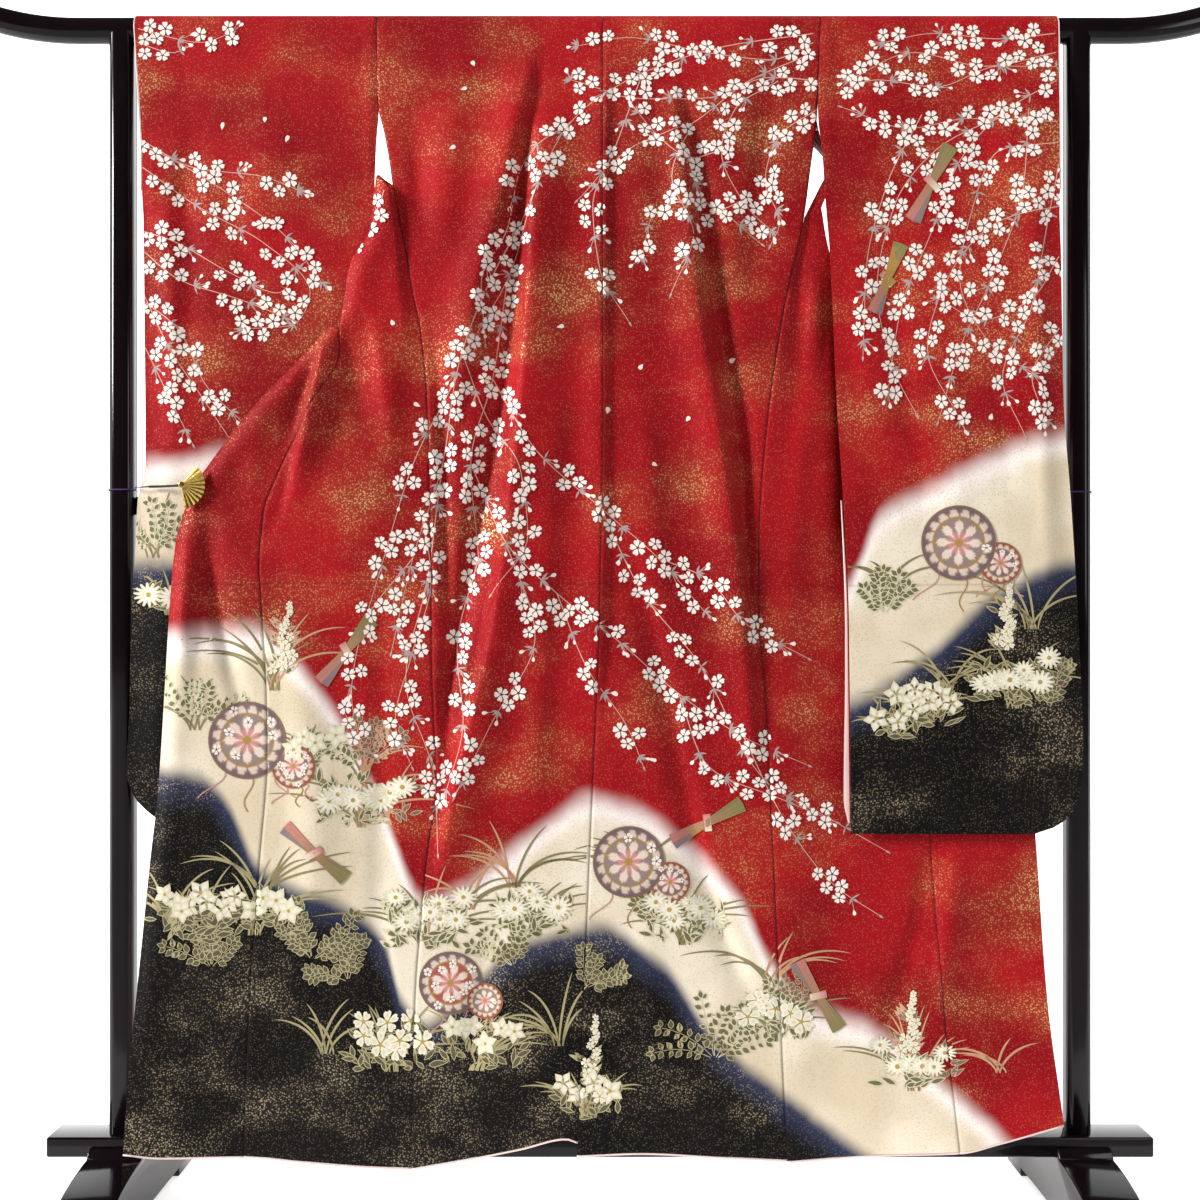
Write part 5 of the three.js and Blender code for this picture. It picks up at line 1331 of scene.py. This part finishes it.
def lay_print(name_prefix, drawn, panels, side=-1):
    """Lays shapes on the panels' faces: every point is dropped on the cloth along Y and lifted off a little."""
    trees = {}
    for panel in panels:
        mesh = panel.data
        trees[panel.name] = BVHTree.FromPolygons([v.co[:] for v in mesh.vertices],
                                                 [p.vertices[:] for p in mesh.polygons])
    way = Vector((0, -side, 0))
    built = {panel.name: ([], [], []) for panel in panels}
    for points, faces, colours, height, middle in drawn.shapes:
        best = None
        for name, tree in trees.items():
            hit = tree.ray_cast(Vector((middle[0] * MM, side * 0.5, middle[1] * MM)), way)[0]
            if hit and (best is None or side * (hit.y - best[1]) > 0):
                best = (name, hit.y)
        if best is None:
            continue
        tree = trees[best[0]]
        places, depth = [], 0.0
        for p in points:
            hit, pull = None, 1.0
            while hit is None and pull > 0.05:
                q = middle + (p - middle) * pull
                hit = tree.ray_cast(Vector((q[0] * MM, side * 0.5, q[1] * MM)), way)[0]
                if hit is not None and abs(hit.y - best[1]) > 0.012:
                    hit = None
                if hit is None:
                    pull -= 0.12
            hit = hit or Vector((middle[0] * MM, best[1], middle[1] * MM))
            places.append((hit.x, hit.y + side * (LIFT + height) * MM, hit.z))
        rows, panels_faces, tints = built[best[0]]
        start = len(rows)
        rows.extend(places)
        tints.extend(colours)
        for face in faces:
            a, b, c = (places[i] for i in face[:3])
            area = (b[0] - a[0]) * (c[2] - a[2]) - (b[2] - a[2]) * (c[0] - a[0])
            order = face if area * side < 0 else face[::-1]
            panels_faces.append(tuple(start + i for i in order))
    for name, (rows, faces, tints) in built.items():
        if not faces:
            continue
        mesh = bpy.data.meshes.new(name_prefix + name)
        mesh.from_pydata(rows, [], faces)
        ink = mesh.attributes.new("ink", "FLOAT_COLOR", "POINT")
        ink.data.foreach_set("color", np.array(tints, np.float32).ravel())
        mesh.materials.append(INK)
        mesh.polygons.foreach_set("use_smooth", np.ones(len(faces), bool))
        obj = bpy.data.objects.new(name_prefix + name, mesh)
        bpy.context.scene.collection.objects.link(obj)
        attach(obj, "root")
        SHEETS[name]["pieces"].append(obj)

def ink_material():
    material, tree, surface = finish_material("print_colours")
    where = node(tree, "ShaderNodeTexCoord").outputs["Object"]
    ink = node(tree, "ShaderNodeAttribute", {"attribute_name": "ink"}).outputs["Color"]
    blot = node(tree, "ShaderNodeTexNoise", {"Scale": 300.0, "Detail": 3.0}, Vector=where)
    worn = node(tree, "ShaderNodeMapRange", {"To Min": 0.84, "To Max": 1.08}, Value=blot.outputs["Fac"])
    shade = node(tree, "ShaderNodeHueSaturation", {}, Color=ink, Value=worn.outputs["Result"])
    tree.links.new(shade.outputs["Color"], surface.inputs["Base Color"])
    tree.links.new(silk_relief(tree, where), surface.inputs["Normal"])
    surface.inputs["Roughness"].default_value = 0.6
    surface.inputs["Specular IOR Level"].default_value = 0.3
    return material

INK = ink_material()
BODY_STEMS = [
    [(300, 1668), (180, 1650), (60, 1610), (-40, 1540), (-90, 1440), (-130, 1320), (-190, 1210)],
    [(300, 1640), (210, 1600), (130, 1540), (40, 1500), (-30, 1430)],
    [(300, 1655), (240, 1630), (150, 1640), (40, 1662), (-30, 1650)],
    [(250, 1600), (190, 1560), (170, 1500), (200, 1430), (240, 1390)],
    [(60, 1610), (20, 1500), (-10, 1420), (0, 1330), (40, 1260)],
    [(-90, 1440), (-160, 1300), (-200, 1180), (-220, 1060), (-260, 930), (-290, 800)],
    [(-130, 1320), (-150, 1180), (-180, 1060), (-170, 930)],
    [(-150, 1180), (-90, 1080), (0, 1000), (80, 930), (150, 850)],
    [(-180, 1060), (-130, 950), (-60, 880), (30, 810), (110, 740), (200, 680), (290, 640)],
    [(-200, 1180), (-260, 1060), (-300, 930), (-330, 830)],
    [(0, 1000), (60, 880), (140, 780), (230, 620), (330, 560), (400, 520)],
    [(130, 1540), (100, 1460), (130, 1380), (100, 1300)],
    [(-220, 1060), (-240, 900), (-270, 760), (-230, 620), (-225, 520)],
    [(-130, 950), (-90, 820), (-150, 700), (-200, 600)],
    [(200, 680), (260, 560), (330, 470), (390, 430)],
    [(170, 1500), (120, 1490), (80, 1520), (40, 1570)],
    [(-300, 1440), (-306, 1420), (-330, 1390), (-352, 1352)],
    [(311, 1600), (240, 1605), (150, 1575), (60, 1572), (-40, 1600)],
    [(305, 1560), (250, 1520), (232, 1460), (252, 1400), (240, 1370)],
    [(200, 1430), (150, 1412), (110, 1425), (70, 1400), (60, 1350)],
    [(120, 1500), (140, 1440), (190, 1400), (225, 1372)],
    [(-40, 1540), (-110, 1480), (-130, 1390), (-165, 1310), (-160, 1230)],
    [(-190, 1210), (-160, 1130), (-110, 1050), (-100, 960), (-150, 880)],
    [(-60, 880), (-20, 780), (40, 690), (60, 640)],
    [(80, 930), (150, 900), (200, 840), (290, 790)],
    [(-170, 930), (-200, 800), (-190, 700), (-215, 600)],
    [(-260, 930), (-330, 830), (-345, 740), (-330, 660)],
    [(110, 740), (150, 640), (260, 590), (330, 560)],
    [(-250, 1000), (-235, 900), (-260, 800), (-285, 700), (-262, 640)],
]
RIGHT_SLEEVE_STEMS = [
    [(640, 1640), (540, 1620), (440, 1640), (350, 1600)],
    [(640, 1600), (560, 1550), (500, 1480), (460, 1380), (420, 1280), (400, 1160)],
    [(600, 1560), (590, 1450), (550, 1330), (500, 1220), (470, 1120)],
    [(640, 1480), (620, 1380), (600, 1280), (560, 1180), (590, 1100)],
    [(450, 1550), (400, 1450), (370, 1330), (365, 1210)],
    [(640, 1540), (520, 1545), (430, 1530), (340, 1560)],
    [(640, 1420), (560, 1400), (490, 1330), (455, 1220), (500, 1120)],
    [(640, 1668), (560, 1660), (470, 1668), (400, 1655)],
    [(640, 1510), (560, 1500), (520, 1420), (500, 1320), (540, 1230), (610, 1180)],
    [(560, 1550), (470, 1500), (410, 1420), (385, 1300), (410, 1190), (440, 1130)],
    [(640, 1350), (600, 1290), (530, 1260), (470, 1290)],
    [(330, 1580), (390, 1600), (470, 1590), (560, 1620), (640, 1620)],
    [(640, 1250), (600, 1180), (620, 1120)],
]
LEFT_SLEEVE_STEMS = [
    [(-650, 1520), (-600, 1490), (-520, 1440), (-440, 1380), (-385, 1310)],
    [(-645, 1510), (-560, 1475), (-480, 1465), (-410, 1440)],
    [(-645, 1480), (-560, 1420), (-470, 1370), (-405, 1300), (-430, 1255), (-500, 1250)],
    [(-645, 1390), (-590, 1370), (-520, 1330), (-450, 1300), (-420, 1335)],
    [(-640, 1360), (-590, 1320), (-500, 1290), (-430, 1262)],
    [(-640, 1290), (-590, 1250), (-550, 1170), (-500, 1120)],
    [(-640, 1300), (-600, 1220), (-560, 1160), (-520, 1100)],
    [(-640, 1230), (-600, 1150), (-570, 1090)],
    [(-650, 1675), (-560, 1655), (-520, 1668)],
    [(-650, 1655), (-600, 1640), (-570, 1655)],
]

def print_body():
    drawn = Print(BODY_ZONES)
    for k, (root, blades, tall) in enumerate([((-452, 745), 11, 160), ((-560, 690), 6, 100), ((-300, 560), 8, 120),
                                              ((-120, 470), 9, 120), ((60, 480), 9, 130), ((235, 330), 9, 120),
                                              ((440, 190), 9, 130), ((-470, 450), 9, 140), ((-60, 250), 8, 120),
                                              ((560, 210), 5, 80), ((-380, 240), 7, 100), ((-600, 420), 7, 120),
                                              ((-20, 150), 7, 100), ((-330, 620), 7, 110), ((-185, 440), 7, 100)]):
        drawn.grass(root, 100 + k, blades, tall)
    for k, (root, stems, tall) in enumerate([((-560, 700), 6, 80), ((-400, 370), 8, 90), ((-120, 360), 6, 80),
                                             ((160, 230), 8, 90), ((-330, 640), 5, 70), ((280, 300), 4, 60),
                                             ((-20, 330), 4, 60), ((-350, 340), 6, 70), ((90, 420), 5, 60),
                                             ((-540, 360), 6, 70)]):
        drawn.round_leaves(root, 200 + k, stems, tall)
    for k, (root, kind, flowers, tall) in enumerate([((-330, 555), "many", 8, 105), ((-560, 395), "star", 8, 90),
                                                     ((-480, 405), "star", 6, 85), ((-290, 215), "blossom", 8, 90),
                                                     ((-240, 385), "many", 9, 95), ((-165, 215), "star", 6, 85),
                                                     ((120, 390), "many", 7, 85), ((245, 255), "blossom", 6, 75),
                                                     ((440, 185), "many", 6, 85), ((-90, 405), "many", 6, 80),
                                                     ((-15, 150), "star", 4, 70), ((-400, 640), "star", 4, 60)]):
        drawn.clump(root, 300 + k, kind, flowers, tall)
    for k, (root, tall) in enumerate([((-440, 765), 90), ((-15, 170), 110), ((430, 230), 80)]):
        drawn.spike(root, 400 + k, tall)
    mauve, rust, grey = linear("7E656C"), linear("A8574C"), linear("92807E")
    balls = [((-490, 676), 54, grey), ((-425, 640), 31, mauve), ((-208, 338), 44, rust), ((-160, 312), 25, grey),
             ((40, 506), 50, grey), ((98, 478), 28, mauve)]
    for k, (place, size, second) in enumerate(balls):
        drawn.thread_ball(place, size, 500 + k, mauve if k % 2 == 0 else rust, second)
    for place, angle in (((-352, 800), 0.9), ((-395, 520), -0.7), ((150, 560), 0.5), ((305, 318), -1.0)):
        drawn.paper_knot(place, angle, 112)
    for k, stem in enumerate(BODY_STEMS):
        drawn.spray(stem, 10 + k, 0.95)
    drawn.loose_petals([(-176, 1620), (-210, 1500), (-195, 1585), (80, 1058), (-250, 1140), (10, 1130), (190, 1210),
                        (-60, 1250), (120, 1120), (-290, 1260), (60, 1200)], 7)
    lay_print("print_", drawn, [SHEETS[n]["obj"] for n in ("back_left_silk", "back_right_silk", "front_left_silk",
                                                           "okumi_left_silk", "front_right_silk", "okumi_right_silk")])

def print_sleeves():
    left = Print(SLEEVE_LEFT_ZONES)
    for k, stem in enumerate(LEFT_SLEEVE_STEMS):
        left.spray(stem, 50 + k, 1.0)
    left.loose_petals([(-530, 1530), (-495, 1478), (-560, 1390), (-478, 1395), (-440, 1512), (-470, 1540)], 8)
    left.round_leaves((-625, 940), 250, 5, 80)
    left.grass((-625, 930), 150, 6, 110)
    left.clump((-600, 850), 350, "many", 3, 60)
    right = Print(SLEEVE_RIGHT_ZONES)
    for k, (root, blades, tall) in enumerate([((400, 880), 6, 90), ((600, 830), 9, 130), ((480, 740), 7, 110)]):
        right.grass(root, 160 + k, blades, tall)
    for k, (root, stems, tall) in enumerate([((395, 850), 6, 70), ((625, 720), 5, 65)]):
        right.round_leaves(root, 260 + k, stems, tall)
    for k, (root, kind, flowers, tall) in enumerate([((450, 695), "star", 7, 70), ((575, 720), "many", 8, 90),
                                                     ((410, 680), "star", 3, 50)]):
        right.clump(root, 360 + k, kind, flowers, tall)
    right.spike((560, 800), 460, 80)
    right.thread_ball((498, 950), 52, 560, linear("7E656C"), linear("92807E"))
    right.thread_ball((556, 922), 29, 561, linear("A8574C"), linear("7E656C"))
    right.paper_knot((462, 1452), 1.1, 120)
    right.paper_knot((400, 1318), 1.2, 104)
    for k, stem in enumerate(RIGHT_SLEEVE_STEMS):
        right.spray(stem, 70 + k, 1.0)
    right.loose_petals([(378, 1600), (520, 1480), (610, 1500), (410, 1230), (545, 1130), (600, 1220)], 9)
    lay_print("print_", left, [SHEETS["sleeve_left_silk"]["obj"]])
    lay_print("print_", right, [SHEETS["sleeve_right_silk"]["obj"]])
    for name, zones, sign in (("sleeve_left_silk", SLEEVE_LEFT_ZONES, -1),
                              ("sleeve_right_silk", SLEEVE_RIGHT_ZONES, 1)):
        far = Print(zones)
        for k, stem in enumerate(([(640, 1640), (560, 1560), (500, 1440), (470, 1300), (480, 1180)],
                                  [(630, 1500), (580, 1400), (590, 1280), (560, 1160)],
                                  [(450, 1620), (400, 1520), (380, 1400), (400, 1300)])):
            far.spray([(sign * x, z) for x, z in stem], 90 + k, 0.8)
        far.clump((sign * 480, 720), 390, "many", 6, 80)
        far.round_leaves((sign * 590, 760), 290, 5, 70)
        lay_print("print_far_", far, [SHEETS[name]["obj"]], side=1)

print_body()
print_sleeves()

# =====================================================================================================
# Clip: a small gold-plated folding fan on a spring clip, held by a braided black cord, with a thin purple
# cord tied round each post.
# =====================================================================================================
def gold_material():
    material, tree, surface = finish_material("gold_metal")
    where = node(tree, "ShaderNodeTexCoord").outputs["Object"]
    wear = node(tree, "ShaderNodeTexNoise", {"Scale": 260.0, "Detail": 4.0}, Vector=where)
    tint = node(tree, "ShaderNodeValToRGB", Fac=wear.outputs["Fac"])
    tint.color_ramp.elements[0].color = linear("B98A2E")
    tint.color_ramp.elements[1].color = linear("E9CC7A")
    tree.links.new(tint.outputs["Color"], surface.inputs["Base Color"])
    rough = node(tree, "ShaderNodeMapRange", {"To Min": 0.18, "To Max": 0.36}, Value=wear.outputs["Fac"])
    tree.links.new(rough.outputs["Result"], surface.inputs["Roughness"])
    surface.inputs["Metallic"].default_value = 1.0
    return material

def cord_material(name, dark, light):
    material, tree, surface = finish_material(name)
    where = node(tree, "ShaderNodeTexCoord").outputs["Object"]
    braid = node(tree, "ShaderNodeTexWave", {"Scale": 160.0, "Distortion": 2.0}, Vector=where)
    tint = node(tree, "ShaderNodeValToRGB", Fac=braid.outputs["Fac"])
    tint.color_ramp.elements[0].color = linear(dark)
    tint.color_ramp.elements[1].color = linear(light)
    tree.links.new(tint.outputs["Color"], surface.inputs["Base Color"])
    bump = node(tree, "ShaderNodeBump", {"Strength": 0.6, "Distance": 0.0004}, Height=braid.outputs["Fac"])
    tree.links.new(bump.outputs["Normal"], surface.inputs["Normal"])
    surface.inputs["Roughness"].default_value = 0.75
    return material

GOLD = gold_material()
FAN = dict(x=-579.0, y=-54.0, z=1030.0, radius=32.0, hub=5.0, start=52.0, end=-84.0, ribs=11)

def make_fan():
    pleats = 2 * FAN["ribs"]
    rows = []
    for share in np.linspace(0, 1, 8):
        r = FAN["hub"] + share * (FAN["radius"] - FAN["hub"])
        row = []
        for k in range(4 * pleats + 1):
            a = math.radians(FAN["start"] + (FAN["end"] - FAN["start"]) * k / (4 * pleats))
            phase = (k / 4) % 2
            fold = 1.2 * (r / FAN["radius"]) * (phase if phase <= 1 else 2 - phase)
            edge = 0.6 * math.sin(math.pi * ((k / 4) % 1)) if share == 1 else 0
            row.append((FAN["x"] + (r + edge) * math.cos(a), FAN["y"] - fold, FAN["z"] + (r + edge) * math.sin(a)))
        rows.append(row)
    fan = cloth_object("fan_clip_gold", np.array(rows), GOLD, thick=1.3)
    fan.data.materials[0] = GOLD
    fan.data.set_sharp_from_angle(angle=math.radians(20))
    clear_choice()
    bpy.ops.mesh.primitive_cylinder_add(vertices=32, radius=0.0045, depth=0.006, rotation=(math.radians(90), 0, 0),
                                        location=(FAN["x"] * MM, FAN["y"] * MM, FAN["z"] * MM))
    pivot = bpy.context.object
    pivot.name = "fan_pivot_gold"
    settle(pivot)
    apply_modifier(pivot, "BEVEL", width=0.0012, segments=3, limit_method="ANGLE", angle_limit=math.radians(50))
    pivot.data.materials.append(GOLD)
    smooth_by_angle(pivot)
    take_place(fan, "gold_metal", "fan_clip_leaf")
    take_place(pivot, "gold_metal", "fan_clip_pivot")

def make_cords():
    black = cord_material("black_braid", "0A090B", "26222A")
    purple = cord_material("purple_braid", "2A1040", "5A2F80")
    start = FAN["x"] - FAN["hub"]
    route = flowing_path([(start, -54, 1029), (-600, -46, 1029), (-615, -40, 1029), (-629, -38, 1029)], 30)
    thick = tube("clip_cord_braid", route, 1.7, 12, black)
    pieces = [(thick, "clip_cord")]
    for side, sign, begin, z in (("left", -1, [(-629.4, -38, 1029), (-649, -37, 1028)], 1027),
                                 ("right", 1, [(577, -24, 1023), (640, -21.5, 1024)], 1024)):
        flat, bend = 17.5 - 11, 11 + 1.8
        route = list(begin)
        for cx, cy in ((-sign, -1), (sign, -1), (sign, 1), (-sign, 1)):
            middle = math.atan2(cy, cx)
            for k in (-1, -0.5, 0, 0.5, 1):
                a = middle + sign * k * math.pi / 4
                route.append((sign * 677 + cx * flat + bend * math.cos(a), cy * flat + bend * math.sin(a), z))
        pieces.append((tube("post_cord_" + side + "_braid", route[:-2], 0.9, 8, purple), "post_cord_" + side))
    for obj, cad in pieces:
        take_place(obj, "braided_cord", cad)

make_fan()
make_cords()
